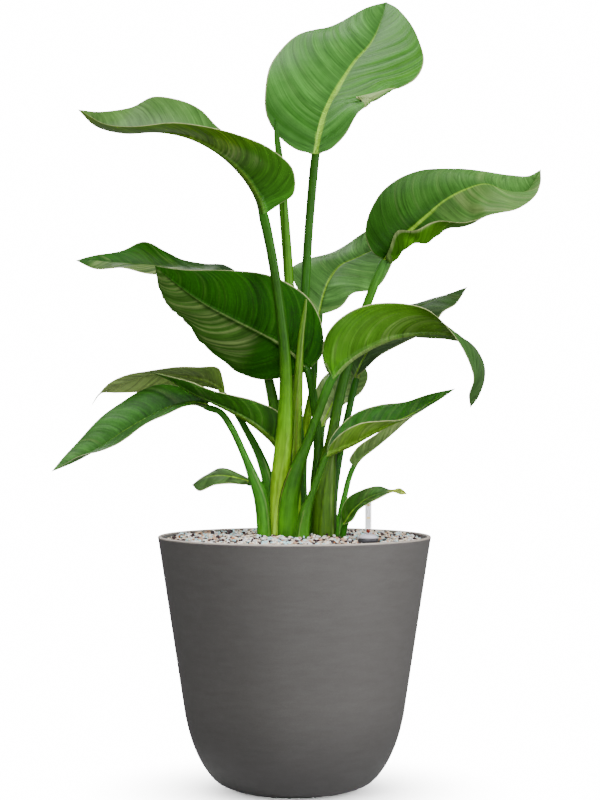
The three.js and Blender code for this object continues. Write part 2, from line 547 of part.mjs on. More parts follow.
// The float, with the rod that carries its marker up into the clear tube
function floatSolid() {
  const bottom = SHAFT_BOTTOM + SHAFT_WALL + FLOAT_LIFT;
  const top = bottom + FLOAT_LENGTH;
  const markerTop = MARKER_BOTTOM + MARKER_LENGTH;
  return onGauge([[0, bottom], [FLOAT_RADIUS, bottom], [FLOAT_RADIUS, top], [ROD_RADIUS, top + 2],
    [ROD_RADIUS, MARKER_BOTTOM], [MARKER_RADIUS, MARKER_BOTTOM], [MARKER_RADIUS, markerTop],
    [0, markerTop]], FLOAT_SIDES);
}

// The room that soil and gravel leave for the shaft
function shaftHole() {
  const bottom = SHAFT_BOTTOM - GAP;
  const top = POT_HEIGHT + 2 * GRAIN;
  return onGauge([[0, bottom], [RING_RADIUS + 1, bottom], [RING_RADIUS + 1, top], [0, top]], GAUGE_SIDES);
}

// Every leaf as one body, with its stem cut clear of the stems that it nests against
function plantSolids() {
  const rows = Object.fromEntries([
    ...Object.entries(LEAVES).map(([name, leaf]) => [name, stemRows(leaf)]),
    ...Object.entries(ROLLED_LEAVES),
  ]);
  const solids = {};
  const grown = [];
  for (const [name, stem] of Object.entries(rows)) {
    let solid = toSolid(sweep(stem));
    if (LEAVES[name]) solid = solid.add(toSolid(blade(LEAVES[name])));
    for (const neighbour of grown) solid = solid.subtract(neighbour);
    grown.push(toSolid(sweep(stem, GAP)));
    solids[name] = largestBody(solid);
  }
  const holes = Object.values(rows).map(([foot, ...rest]) => {
    const below = [foot[0], foot[1] - HOLE_DEPTH, ...foot.slice(2)];
    return toSolid(sweep([below, ...rest.slice(0, 2)], 2 * GAP));
  });
  return { solids, holes };
}

const group = new THREE.Group();

function addNode(name, solid, color, roughness, clearness = {}) {
  const material = new THREE.MeshStandardMaterial({ color, roughness, metalness: 0, ...clearness });
  const mesh = new THREE.Mesh(toGeometry(solid), material);
  mesh.name = name;
  group.add(mesh);
}

const plant = plantSolids();

function cutHoles(filling) {
  const cut = [shaftHole(), ...plant.holes].reduce((rest, hole) => rest.subtract(hole), filling);
  return largestBody(cut);
}

addNode('pot', potSolid(), 0x5a5a5c, 0.6);
addNode('soil', cutHoles(soilSolid()), 0x3b2a20, 1);
addNode('gravel', cutHoles(gravelSolid()), 0xcfc5bb, 0.85);
addNode('gauge_shaft', shaftSolid(), 0x3a3a3c, 0.5);
addNode('gauge_sight_tube', sightSolid(), 0xd8dade, 0.15, { transparent: true, opacity: 0.4 });
addNode('gauge_float', floatSolid(), 0xa8452c, 0.5);
for (const [name, solid] of Object.entries(plant.solids)) {
  addNode(name, solid, ROLLED_LEAVES[name] ? STEM_COLOUR : LEAF_COLOUR, 0.4);
}

export default group;
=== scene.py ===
"""Looks of a potted giant white bird of paradise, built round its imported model.

Everything is in the row frame: metres, +Z up, the origin on the pot's axis at its foot.
The plant's control points are (across, up, depth) in millimetres, laid out as the plant is seen
from the front: across and up are read on the upright plane through the pot's axis.
"""

import math
import random

import bmesh
import bpy
import numpy as np
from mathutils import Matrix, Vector


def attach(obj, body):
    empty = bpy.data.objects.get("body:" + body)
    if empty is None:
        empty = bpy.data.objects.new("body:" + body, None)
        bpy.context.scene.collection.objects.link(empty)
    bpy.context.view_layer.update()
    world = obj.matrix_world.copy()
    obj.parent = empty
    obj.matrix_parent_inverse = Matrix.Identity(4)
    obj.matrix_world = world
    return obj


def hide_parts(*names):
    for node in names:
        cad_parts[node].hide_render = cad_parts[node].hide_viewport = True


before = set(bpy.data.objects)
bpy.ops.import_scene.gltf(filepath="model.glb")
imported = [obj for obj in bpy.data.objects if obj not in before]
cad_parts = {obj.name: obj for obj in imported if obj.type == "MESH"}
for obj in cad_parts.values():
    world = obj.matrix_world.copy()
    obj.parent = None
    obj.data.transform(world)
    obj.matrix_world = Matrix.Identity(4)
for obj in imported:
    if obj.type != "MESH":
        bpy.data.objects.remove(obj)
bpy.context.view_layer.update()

MM = 0.001

# The view from the front, in millimetres
EYE = np.array([7.3, -2800.0, 513.0])
VIEW_HEIGHT = 1055.2
SENSOR = 36.0

# The studio: strength of the light from all round and of the backdrop, and places in metres
AMBIENT = 0.28
BACKDROP = 16.0
FLOOR_RADIUS = 2.2
FLOOR_FADE = (0.05, 0.3)
PLANT_CENTRE = (0, 0, 0.6)
GRAVEL_CENTRE = (0, -0.04, 0.33)

# Lamps: place and size in metres, power in watts, spread in degrees and aim
LAMPS = {
    "overhead": ((-0.5, 0.3, 3.1), 2.2, 88, 180, PLANT_CENTRE),
    "key": ((2.3, -1.8, 1.7), 1.0, 60, 180, PLANT_CENTRE),
    "fill": ((-2.0, -2.2, 1.3), 1.2, 9, 180, PLANT_CENTRE),
    "front": ((0.3, -3.4, 0.7), 1.2, 40, 180, PLANT_CENTRE),
    "side": ((2.4, -1.2, 0.5), 0.9, 29, 180, PLANT_CENTRE),
    "back": ((-0.8, 2.4, 1.8), 1.2, 30, 180, PLANT_CENTRE),
    "gravel": ((0.0, -0.55, 1.0), 0.3, 0.32, 26, GRAVEL_CENTRE),
}

# Driving sizes of the pot, in millimetres
RIM_RADIUS = 180
POT_HEIGHT = 334.5
LIP_WIDTH = 5
LIP_BAND = (2.6, 1.4)
FLOOR = 8
POT_SIDES = 160
OUTSIDE = [(64, 0), (84, 4), (103, 13), (120, 33), (132, 57), (139, 78), (144, 99)]
INSIDE = [(60, 8), (82, 12), (98, 20), (114, 37), (126, 60), (133, 80), (138, 99), (173, 326.5)]

# Driving sizes of the gravel: the bed, its stones, their heap, their drop at the wall and dip at the gauge
GRAVEL_BED = 326.5
GRAVEL_RADIUS = 171.5
BED_SIDES = 96
STONE_PITCH = 5.8
STONE_RADIUS = (1.9, 3.6)
STONE_JITTER = 1.2
STONE_LIFT = 3.6
STONE_SCATTER = (-1.8, 2.2)
STONE_CUTS = 5
UPPER_SHARE = 0.28
UPPER_LIFT = (1.6, 3.0)
HEAP = 3.0
HEAP_REACH = (70, 60)
WALL_DROP = 5.0
WALL_DROP_SPAN = (0.93, 0.07)
GAUGE_DIP = 6
DIP_REACH = 26
DIP_REACH_IN_FRONT = 100

# Driving sizes of the water gauge
GAUGE = (96, -40)
SHAFT_RADIUS = 11
SHAFT_WALL = 1.6
SHAFT_BOTTOM = 60
SHAFT_TOP = 333
RING_RADIUS = 13
RING_HEIGHT = 4
SIGHT_RADIUS = 4.3
SIGHT_WALL = 1
SIGHT_TOP = 393
DOME_RADIUS = 12.5
DOME_HEIGHT = 8
FLOAT_RADIUS = 7.6
FLOAT_LENGTH = 46
FLOAT_LIFT = 4
ROD_RADIUS = 1.2
MARKER_RADIUS = 2.6
MARKER_BOTTOM = 341
MARKER_TOP = 345
TICKS = (360, 376.5)
TICK_HALF_HEIGHT = 1.2
TICK_RADII = (4.1, 4.55)
TICK_POINTS = 13
GAUGE_SIDES = 48
GAP = 0.4

# Driving sizes of the plant's fine surface
ROW_STEP = 2.0
STEM_STEP = 4.0
STEM_SIDES = 48
CURVE_POINTS = 241
HALF_THICKNESS = 0.42
RIB_COLUMNS = 6
BLADE_COLUMNS = 17
EDGE_GATHER = 1.25
BOW = 2.4
MIDRIB_SIZE = 0.85
MIDRIB_TAPER = 0.8
THINNEST_RIB = 0.4
ROOT_SWELL = 0.15
ROOT_REACH = 0.05
RIPPLE_REACH = 2.5
RIPPLE_OFFSET = 0.4
VEIN_BEND = 1.25
ROW_GATHER = 1.8
PLEAT_PITCHES = (11.0, 6.5)
RAGGED_PITCH = 7.0
VEIN_PITCH = 4.2
GROUP_PITCH = 13.0
FOLD_RISE = 0.03
FOLD_RETURN = 0.95
FOLD_HEIGHT = 4.0
FOLD_ROUNDING = 2.5
MARGIN = 0.9
GRAIN_ACROSS = 0.004
GRAIN_ROUND_STEM = 8
GRAIN_ALONG_STEM = 0.06
SEAM_HEIGHT = 0.9
SEAM_FADE = 9
FAR = 99

# Leaf and stem colours, as sRGB. shaded and leaf_shade are painted shade and sun is painted sunlight on the
# stems; some other colours also paint highlights, sheen or shade in marks.
COLOURS = {
    "deep": (18, 56, 2),
    "dark": (28, 82, 2),
    "mid": (48, 110, 22),
    "fresh": (60, 122, 6),
    "bright": (84, 142, 10),
    "lime": (126, 174, 22),
    "sage": (70, 126, 50),
    "grey": (84, 134, 62),
    "olive": (92, 126, 34),
    "pale": (150, 172, 104),
    "cream": (214, 220, 160),
    "rib": (154, 208, 58),
    "yellow": (170, 186, 50),
    "brown": (110, 84, 50),
    "pink": (188, 150, 110),
    "shaded": (40, 86, 8),
    "moss": (58, 94, 16),
    "moss_grey": (84, 122, 58),
    "leaf_shade": (54, 84, 40),
    "leafy": (88, 132, 28),
    "sun": (166, 210, 56),
}

# Gravel colours as sRGB, with each colour's weight in the draw
STONES = {
    "cream": ((246, 220, 196), 0.34),
    "white": ((255, 255, 253), 0.25),
    "blue_white": ((186, 230, 248), 0.13),
    "tan": ((204, 164, 134), 0.11),
    "purple_brown": ((54, 32, 34), 0.37),
    "rust": ((180, 110, 62), 0.02),
}

# What a leaf has where its own entry says nothing else. under is how far below the blade the stem meets it,
# in half thicknesses, ragged the tears of either edge, and fold a margin turned back: half, begin, end and
# extra width. The rest are the gloss, the pleats' height, the side veins' sweep, and the strength, pitch,
# width or colour of what is painted on. Of these, contrast is painted light and shade along the pleats,
# crease is painted shade beside the midrib, lines are painted shade and highlight along thin creases, and
# some marks are painted highlights, sheen or shade.
USUAL = {
    "under": 0.3, "rib_width": 0.6, "sweep": 0.45, "pleat": 0.6, "ragged": (0, 0), "fold": (None, 0, 0, 0),
    "gloss": 0.14, "contrast": 0.25, "crease": 0.25, "veins": 0.2, "lines": 0.2, "crease_pitch": 9.0,
    "mark_pitch": 4.6, "midrib": 0.9, "keel": "olive", "keel_width": 1.0, "margin": 0.8, "marks": (),
    "seams": (),
}
LEAVES = {}
ROLLED_LEAVES = {}


def grow(name, stem, rib=(), **own):
    """Keep a leaf's shape and looks. The midrib starts at the stem's end, and a rolled leaf has none.

    A stem row is (across, up, depth, half width, half thickness), the last left out where both are alike.
    left and right are the edges, arch each half's rise as a share of its width, from base to tip, and wave
    the edge's ripple (height, count, start). upper and lower are the face colours at base and tip. A mark is
    a streaked patch: face, half, begin and end along the leaf and across it, strength and colour; some marks
    are the leaf's own colour, such as a yellow tip or pale veins, and others painted highlights, sheen or
    shade.
    A seam is a sheath's edge: begin and degrees round the stem, end and degrees, colour and strength; a
    painted shadow lies along one side of it.
    """
    stem = [(*row, row[3]) if len(row) == 4 else row for row in stem]
    if rib:
        LEAVES[name] = {**USUAL, "stem": stem, "rib": [stem[-1][:3], *rib], **own}
    else:
        ROLLED_LEAVES[name] = {**USUAL, "stem": stem, **own}


grow("leaf_left_top",
     stem=[(-19, 300, 6, 12, 11), (-19, 400, -2, 12.5, 11), (-13, 480, -14, 10, 9.5), (-12, 560, -22, 7.5),
           (-20, 640, -24, 6.4), (-31, 710, -20, 6.2), (-39, 758, -14, 6.2)],
     rib=[(-48, 782, -12), (-68, 812, -8), (-100, 841, -4), (-140, 861, -2), (-180, 868, -2),
          (-225, 866, -6), (-262, 875, -12), (-285, 896, -20)],
     left=[(-20, 771, -20), (-1, 785, -28), (-2, 818, -36), (-30, 843, -40), (-60, 857, -44),
           (-103, 872, -48), (-150, 878, -54), (-205, 874, -56), (-250, 878, -44)],
     right=[(-18, 776, -4), (-8, 800, 6), (-25, 834, 14), (-62, 852, 28), (-100, 872, 40), (-124, 895, 42),
            (-150, 908, 40), (-186, 914, 34), (-216, 899, 26), (-255, 893, 4)],
     arch=[(-0.05, -0.1, -0.1, -0.05), (-0.05, -0.12, -0.1, 0)], wave=(1.5, 3, 0.2),
     upper=("sage", "moss_grey"), lower=("mid", "leafy"),
     stem_colours=("sun", "lime", "bright", "shaded", "shaded", "mid"), contrast=0.1, veins=0.05,
     mark_pitch=3.4,
     # The cream streaks are painted highlights along the fold of the underside, and the lime patch is painted
     # light on its dim lower lobe.
     marks=[("lower", 0, 0.3, 0.62, 0.15, 0.5, 0.35, "cream"),
            ("lower", 0, 0.4, 1.0, 0.0, 1.0, 0.75, "lime")],
     seams=[(0.0, 205, 0.36, 300, "pale", 0.3)])
grow("leaf_right_mid",
     stem=[(-10, 300, -12, 12, 10), (-7, 380, -14, 13, 10), (4, 424, -16, 9.5, 8.5), (17.5, 457, -17, 6.5),
           (29, 490, -17, 6), (48, 543, -16, 5.7)],
     rib=[(72, 566, -16), (100, 583, -17), (130, 595, -18), (160, 600, -19), (190, 601, -20),
          (212, 598, -21), (230, 588, -22), (243, 570, -22), (248, 548, -22), (243, 525, -22),
          (232, 503, -22)],
     left=[(52, 562, -4), (66, 582, 1), (90, 594, 8), (125, 597, 22), (165, 595, 30), (205, 593, 26),
           (232, 584, 16), (249, 562, 4), (251, 540, -6), (243, 517, -16)],
     right=[(40, 552, -22), (36, 575, -28), (43, 601, -34), (62, 622, -38), (95, 638, -40), (140, 641, -44),
            (175, 632, -50), (200, 610, -58), (218, 588, -62), (231, 562, -56), (236, 540, -44),
            (230, 520, -32)],
     arch=[(0.1, 0.1, 0.1, 0), (-0.05, -0.14, -0.12, 0.1, 0.05)], wave=(0.8, 3, 0),
     upper=("sage", "leaf_shade"), lower=("fresh", "leafy"),
     stem_colours=("shaded", "fresh", "shaded", "shaded", "shaded", "mid"), sweep=0.75, contrast=0.1,
     lines=0.05, mark_pitch=3.4, keel="pale", keel_width=0.4, veins=0.05,
     # The pale marks are painted highlights on the underside and painted light on its hanging tip.
     marks=[("lower", 1, 0.15, 0.7, 0.0, 0.6, 0.25, "pale"),
            ("lower", 1, 0.75, 1.0, 0.0, 1.0, 0.6, "pale")],
     seams=[(0.0, 188, 0.45, 215, "pink", 0.9)])
grow("leaf_right_top",
     stem=[(40, 300, 2, 15, 12), (40, 400, 2, 14, 11), (49, 460, 6, 8), (60, 520, 12, 7),
           (76, 580, 18, 6.2), (96, 640, 20, 5.8), (118, 698, 14, 5.4)],
     rib=[(132, 717, 10), (152, 738, 6), (175, 758, 3), (200, 778, 2), (228, 792, 2), (252, 798, 4),
          (280, 789, 8), (305, 788, 12), (325, 817, 16)],
     left=[(103, 708, 10), (94, 728, 12), (96, 752, 16), (112, 784, 24), (135, 803, 32), (170, 817, 38),
           (205, 819, 38), (250, 814, 34), (285, 810, 26), (309, 809, 20)],
     right=[(124, 710, 4), (135, 736, -14), (160, 736, -30), (189, 749, -40), (225, 748, -46),
            (262, 757, -44), (292, 764, -36), (317, 782, -20), (325, 799, -2)],
     arch=[(0.05, 0.15, 0.1, 0.05), (-2.6, -2.0, -1.4, -1.0, -0.8, -0.62, -0.25, 0, 0.1, 0.1, 0.05)],
     wave=(1.2, 3, 0), under=1.0, gloss=0.04, upper=("dark", "grey"), lower=("fresh", "leafy"),
     stem_colours=("moss", "moss", "moss", "shaded", "shaded", "fresh", "sage"), rib_width=0.32, pleat=0.8,
     lines=0.08, contrast=0.12,
     # The pale mark on the right half is painted sheen.
     marks=[("upper", 1, 0.4, 1.0, 0.0, 1.0, 0.4, "pale"),
            ("upper", 0, 0.35, 0.75, 0.3, 1.0, 0.3, "moss_grey")],
     seams=[(0.0, 225, 0.34, 292, "olive", 0.4), (0.0, 318, 0.34, 296, "pale", 0.4)])
grow("leaf_lower_left_front",
     stem=[(-39, 300, -4, 8.5, 8), (-44, 380, -2, 9, 8), (-56, 415, 0, 6.5, 6), (-66, 440, 2, 4.8),
           (-84, 478, 6, 4.6), (-98, 497, 9, 4.4), (-114, 507, 12, 4.2)],
     rib=[(-132, 510, 13), (-152, 507, 12), (-180, 497, 8), (-220, 475, 2), (-258, 450, -5),
          (-290, 432, -11), (-320, 419, -16)],
     left=[(-124, 506, 2), (-150, 503, -16), (-185, 486, -26), (-222, 463, -30), (-258, 444, -30),
           (-288, 437, -24)],
     right=[(-112, 515, 20), (-128, 524, 30), (-152, 531, 38), (-180, 533, 42), (-206, 525, 40),
            (-238, 503, 32), (-269, 477, 20), (-298, 445, 2)],
     arch=[(0.1,), (0.05, 0.1, 0.1, 0.05)], wave=(1.5, 3, 0), under=1.0, upper=("dark", "sage"),
     lower=("grey", "grey"), stem_colours=("fresh", "mid", "mid"), rib_width=0.35,
     seams=[(0.0, 330, 0.5, 290, "pale", 0.5)])
grow("leaf_dark_left",
     stem=[(27, 300, 16, 8), (28, 400, 14, 7.5), (31.5, 450, 12, 6.5), (25.5, 512, 5, 5.5),
           (18, 552, 0, 5.2)],
     rib=[(0, 573, 4), (-25, 591, 5), (-55, 607, 2), (-85, 622, -4), (-118, 640, -10), (-150, 662, -18),
          (-184, 690, -28)],
     left=[(36, 572, -2), (38, 600, 0), (32, 625, 3), (18, 648, 5), (-5, 665, 3), (-35, 678, -2),
           (-80, 684, -14), (-145, 685, -24)],
     right=[(4, 546, 10), (-20, 542, 18), (-42, 540, 25), (-68, 546, 28), (-92, 563, 28), (-118, 584, 24),
            (-140, 612, 14), (-165, 636, 0), (-180, 665, -14)],
     arch=[(0.02, -0.08, -0.08, -0.05), (-0.05, -0.1, -0.1, -0.05)], wave=(1.6, 4, 0), upper=("mid", "mid"),
     lower=("dark", "dark"), stem_colours=("shaded", "shaded", "dark"), gloss=0.04, keel="pale",
     keel_width=0.35, mark_pitch=2.6, lines=0.12, veins=0.05, contrast=0.15, ragged=(0, 1.6), sweep=0.6,
     # The pale marks on the lower lobe are painted reflections along its pleats.
     marks=[("lower", 1, 0.4, 0.95, 0.15, 0.8, 0.5, "pale")], seams=[(0.0, 230, 0.4, 270, "brown", 0.5)])
grow("leaf_top",
     stem=[(12, 300, 34, 7), (10, 400, 36, 6.5), (4.5, 520, 32, 6), (13, 640, 28, 5.9), (19, 740, 26, 5.7),
           (27.5, 838, 20, 5.4)],
     rib=[(36, 880, 34), (47, 907, 50), (62, 933, 70), (80, 960, 94), (99, 981, 118), (110, 1002, 146),
          (121, 1038, 184)],
     left=[(4, 842, 18), (-20, 860, 25), (-37, 890, 34), (-39, 920, 46), (-31, 957, 66), (-3, 990, 96),
           (45, 1006, 130), (95, 1030, 164)],
     right=[(44, 842, 16), (66, 862, 22), (85, 891, 30), (107, 905, 44), (130, 921, 58), (160, 935, 76),
            (171, 962, 98), (160, 997, 130), (136, 1030, 166)],
     arch=[(0.05, 0.12, 0.12, 0.1), (0.05, 0.1, 0.16, 0.1)], wave=(2.5, 3.5, 0), under=1.0,
     upper=("sage", "sage"), lower=("grey", "grey"), stem_colours=("mid", "mid", "shaded"), pleat=0.9,
     contrast=0.1, veins=0.03, crease_pitch=13, sweep=0.6, rib_width=0.95, lines=0.24,
     fold=(1, 0.28, 0.43, 0.5),
     # The dark marks at the base of both halves are painted shade.
     marks=[("upper", 1, 0.3, 1.0, 0.0, 1.0, 0.65, "fresh"), ("upper", 0, 0.0, 0.22, 0.0, 1.0, 0.6, "dark"),
            ("upper", 1, 0.0, 0.12, 0.3, 1.0, 0.5, "dark")])
grow("leaf_front_right",
     stem=[(9, 300, -34, 9, 7), (13, 360, -34, 8, 6.5), (22.5, 388, -34, 4.8), (32.5, 416, -34, 4.2),
           (42, 441, -34, 4)],
     rib=[(60, 448, -38), (80, 457, -42), (102, 469, -46), (126, 481, -48), (152, 493, -50),
          (182, 511, -50), (212, 528, -50)],
     left=[(46, 458, -28), (60, 479, -22), (82, 497, -20), (112, 506, -22), (145, 511, -28),
           (175, 520, -38)],
     right=[(48, 455, -42), (64, 471, -52), (88, 482, -60), (118, 486, -64), (148, 489, -62),
            (180, 506, -56)],
     arch=[(-0.08, -0.1, -0.05), (-0.15, -0.15, -0.1)], wave=(0.8, 2.5, 0), upper=("dark", "dark"),
     lower=("leafy", "leafy"), stem_colours=("fresh", "shaded", "shaded"), veins=0.08, contrast=0.12,
     marks=[("lower", 1, 0.1, 0.8, 0.45, 0.9, 0.25, "pale")], seams=[(0.0, 212, 0.42, 255, "pale", 0.5)])
grow("leaf_lower_left_inner",
     stem=[(-6, 300, 24, 6), (-7, 370, 22, 5.4), (-8, 410, 12, 5), (-12, 438, 4, 4.8)],
     rib=[(-30, 461, 0), (-60, 485, -6), (-85, 499, -9), (-110, 511, -12), (-140, 525, -14),
          (-165, 540, -14), (-190, 550, -14)],
     left=[(-4, 456, 2), (-8, 482, -1), (-23, 499, -5), (-50, 511, -14), (-82, 520, -22), (-112, 527, -25),
           (-140, 538, -22)],
     right=[(-4, 460, 14), (-14, 484, 22), (-40, 502, 26), (-80, 513, 24), (-112, 523, 16), (-142, 538, 4)],
     arch=[(-0.12,), (-0.12,)], wave=(0.8, 3, 0), upper=("dark", "dark"), lower=("shaded", "dark"),
     stem_colours=("mid", "dark", "dark"), veins=0.1,
     # The pale mark near the midrib is a painted highlight.
     marks=[("lower", 1, 0.1, 0.6, 0.05, 0.3, 0.65, "pale")])
grow("leaf_lower_left_back",
     stem=[(-28, 300, 28, 8), (-34, 400, 30, 8, 7.5), (-46, 440, 34, 6), (-66, 478, 42, 4.6),
           (-80, 502, 48, 4.4), (-91, 520, 54, 4.2)],
     rib=[(-102, 532, 57), (-120, 540, 58), (-150, 546, 58), (-185, 548, 56), (-215, 539, 54),
          (-243, 529, 52), (-258, 520, 51), (-267, 507, 50)],
     left=[(-94, 537, 44), (-101, 556, 34), (-130, 557, 30), (-165, 555, 28), (-190, 553, 29),
           (-225, 544, 34), (-250, 531, 43)],
     right=[(-99, 526, 66), (-122, 531, 76), (-160, 530, 80), (-200, 523, 76), (-235, 523, 66),
            (-256, 521, 58)],
     arch=[(-0.1,), (0.15,)], wave=(1.2, 3, 0), upper=("dark", "mid"), lower=("leafy", "pale"),
     stem_colours=("fresh", "mid", "mid"), marks=[("lower", 0, 0.1, 0.9, 0.1, 0.9, 0.45, "pale")],
     seams=[(0.0, 320, 0.55, 290, "pale", 0.7)])
grow("leaf_left_far",
     stem=[(-8, 300, 42, 9, 8), (-14, 420, 44, 8), (-24, 490, 48, 8, 7), (-34, 540, 52, 6.4, 5.5),
           (-50, 610, 62, 5), (-70, 667, 74, 4.8)],
     rib=[(-95, 680, 74), (-130, 685, 73), (-165, 689, 71), (-205, 692, 66), (-240, 695, 60),
          (-270, 698, 52), (-288, 697, 46)],
     left=[(-76, 664, 62), (-105, 670, 44), (-150, 677, 34), (-190, 680, 30), (-225, 686, 32),
           (-262, 686, 38)],
     right=[(-74, 680, 86), (-93, 692, 98), (-118, 692, 108), (-145, 698, 110), (-172, 711, 106),
            (-198, 721, 98), (-226, 711, 86), (-262, 704, 64)],
     arch=[(0.05, 0.1, 0.1, 0.05), (-0.05, -0.1, -0.1, 0)], wave=(1.2, 3, 0), under=1.0, gloss=0.04,
     upper=("deep", "dark"), lower=("pale", "olive"), stem_colours=("bright", "fresh", "shaded", "shaded"),
     rib_width=0.3, midrib=0.4,
     # Both marks are painted highlights on the dark upper face.
     marks=[("upper", 0, 0.2, 0.85, 0.2, 1.0, 0.5, "pale"), ("upper", 1, 0.25, 0.7, 0.1, 0.6, 0.4, "moss")],
     seams=[(0.0, 300, 0.5, 280, "pale", 0.7)])
grow("leaf_behind_right",
     stem=[(10, 300, 50, 7), (9, 400, 52, 7), (14, 475, 52, 6), (24, 528, 50, 4.8), (28, 580, 48, 4.6),
           (32, 625, 45, 4.6)],
     rib=[(37, 648, 50), (45, 670, 58), (60, 690, 68), (85, 702, 80), (112, 716, 92), (138, 738, 104),
          (152, 760, 112)],
     left=[(14, 645, 50), (0, 668, 60), (-4, 687, 70), (13, 696, 80), (40, 705, 90), (70, 720, 100),
           (100, 738, 108), (130, 752, 112)],
     right=[(46, 629, 38), (62, 637, 34), (76, 652, 36), (98, 657, 44), (114, 667, 56), (126, 686, 70),
            (136, 710, 86), (147, 738, 102)],
     arch=[(0.05, 0.12, 0.1, 0.05), (0.05, 0.12, 0.1, 0.05)], wave=(2, 3, 0), under=1.0,
     upper=("grey", "grey"), lower=("grey", "grey"), stem_colours=("olive", "olive", "lime", "mid", "mid"),
     rib_width=0.45, midrib=0.8)
grow("leaf_right_behind",
     stem=[(51, 300, 23, 7), (50.5, 380, 25, 6.3), (62, 455, 30, 5), (72, 500, 35, 4.6),
           (79, 542, 40, 4.4)],
     rib=[(90, 565, 46), (105, 588, 52), (130, 612, 58), (160, 633, 62), (195, 649, 64), (228, 662, 66)],
     left=[(71, 560, 48), (76, 585, 58), (95, 612, 66), (125, 632, 70), (158, 641, 72), (195, 650, 70)],
     right=[(90, 551, 32), (108, 567, 28), (132, 583, 28), (158, 594, 32), (183, 610, 38), (197, 629, 46),
            (214, 641, 56)],
     arch=[(0.05, 0.1, 0.1, 0.05), (0.05, 0.12, 0.1, 0)], wave=(1.2, 4, 0), under=1.0, midrib=0.3,
     upper=("leaf_shade", "leaf_shade"), lower=("olive", "mid"), stem_colours=("shaded", "dark", "dark"))
grow("leaf_low_behind",
     stem=[(36, 300, 36, 5), (35, 380, 40, 4.5), (34, 430, 46, 4), (36, 478, 54, 3.8)],
     rib=[(46, 500, 62), (60, 525, 72), (74, 548, 82), (88, 566, 92)],
     left=[(26, 495, 60), (26, 520, 74), (40, 545, 86), (62, 560, 94)],
     right=[(50, 494, 54), (72, 511, 60), (90, 526, 72), (97, 546, 84)],
     arch=[(0.1,), (0.1,)], wave=(1.2, 2.5, 0), under=1.0, upper=("pale", "grey"), lower=("grey", "grey"),
     stem_colours=("mid",))
grow("leaf_left_low",
     stem=[(-22, 300, 50, 5), (-22, 360, 50, 4.5), (-28, 395, 46, 4), (-42, 402, 40, 3.8),
           (-58, 406, 34, 3.6)],
     rib=[(-80, 411, 28), (-100, 413, 24), (-118, 410, 21), (-135, 401, 18)],
     left=[(-65, 401, 26), (-85, 403, 12), (-105, 400, 8), (-126, 393, 10)],
     right=[(-62, 411, 42), (-82, 420, 42), (-100, 423, 38), (-118, 414, 30)],
     arch=[(0.1,), (0.1,)], wave=(0.8, 2, 0), under=1.0, upper=("moss_grey", "leaf_shade"),
     lower=("grey", "grey"), stem_colours=("mid",))
grow("leaf_right_low",
     stem=[(60, 300, -4, 7.5, 7), (61, 355, -6, 5.5), (66, 385, -8, 4), (72, 410, -8, 3.6),
           (77, 426, -8, 3.4)],
     rib=[(88, 438, -8), (108, 453, -6), (128, 469, -4), (148, 486, -2), (167, 500, 0)],
     left=[(78, 440, 4), (94, 457, 14), (118, 474, 18), (145, 489, 12)],
     right=[(72, 434, -16), (80, 447, -22), (102, 465, -24), (126, 480, -18), (148, 491, -8)],
     arch=[(-0.1,), (-0.15,)], wave=(0.8, 3, 0), upper=("dark", "dark"), lower=("moss_grey", "pale"),
     stem_colours=("mid",), lines=0.3, mark_pitch=3.0,
     marks=[("lower", 0, 0.0, 1.0, 0.2, 1.0, 0.5, "shaded"),
            ("lower", 1, 0.0, 1.0, 0.2, 1.0, 0.5, "shaded")],
     seams=[(0.0, 240, 0.5, 275, "pale", 0.6)])
grow("leaf_right_bottom",
     stem=[(62, 300, -24, 5), (62, 325, -27, 4.5), (64, 348, -34, 3.8)],
     rib=[(76, 366, -48), (92, 381, -62), (110, 389, -72), (126, 393, -76), (138, 394, -78),
          (148, 389, -80)],
     left=[(62, 364, -32), (70, 384, -40), (90, 395, -52), (112, 399, -62), (128, 395, -70),
           (139, 397, -71), (145, 393, -74)],
     right=[(76, 354, -48), (84, 366, -60), (98, 376, -74), (114, 385, -82), (130, 391, -82),
            (140, 388, -82)],
     arch=[(0.1,), (0.1,)], wave=(0.8, 2, 0), under=1.0, upper=("shaded", "leaf_shade"),
     lower=("mid", "olive"), stem_colours=("mid", "dark", "dark"), rib_width=0.4, midrib=0.5,
     marks=[("upper", 0, 0.85, 1, 0, 1, 1.0, "yellow"), ("upper", 1, 0.85, 1, 0, 1, 1.0, "yellow")])
grow("new_leaf_short",
     stem=[(2, 300, 6, 6.5), (2, 440, 4, 6), (4, 520, -2, 6.5), (6, 560, -8, 5), (9, 600, -10, 3.6),
           (13, 630, -10, 2.2), (15, 646, -10, 0.8)],
     stem_colours=("lime", "leafy", "leafy"),
     seams=[(0.1, 250, 0.62, 275, "brown", 0.7), (0.3, 200, 1.0, 330, "pale", 0.6)])
grow("new_leaf_tall",
     stem=[(0, 300, 36, 6), (-2, 440, 40, 6.5), (-3, 560, 36, 6.5), (-8, 680, 32, 6.4), (-14, 760, 29, 6),
           (-20, 830, 24, 4.6), (-24, 865, 19, 3), (-25.5, 884, 16, 0.8)],
     stem_colours=("bright", "bright", "mid"),
     seams=[(0.2, 195, 0.62, 330, "pale", 0.6), (0.55, 200, 1.0, 330, "dark", 0.5)])


def linear(rgb):
    """sRGB from 0 to 255 as linear light."""
    c = np.array(rgb, float) / 255
    return np.where(c <= 0.04045, c / 12.92, ((c + 0.055) / 1.055) ** 2.4)


def colour(name):
    return linear(COLOURS[name])


def place(points):
    """Control points in millimetres as points in the row frame, still in millimetres."""
    p = np.asarray(points, float)
    scale = 1 + p[..., 2] / -EYE[1]
    across = EYE[0] + (p[..., 0] - EYE[0]) * scale
    up = EYE[2] + (p[..., 1] - EYE[2]) * scale
    return np.stack([across, p[..., 2], up], -1)


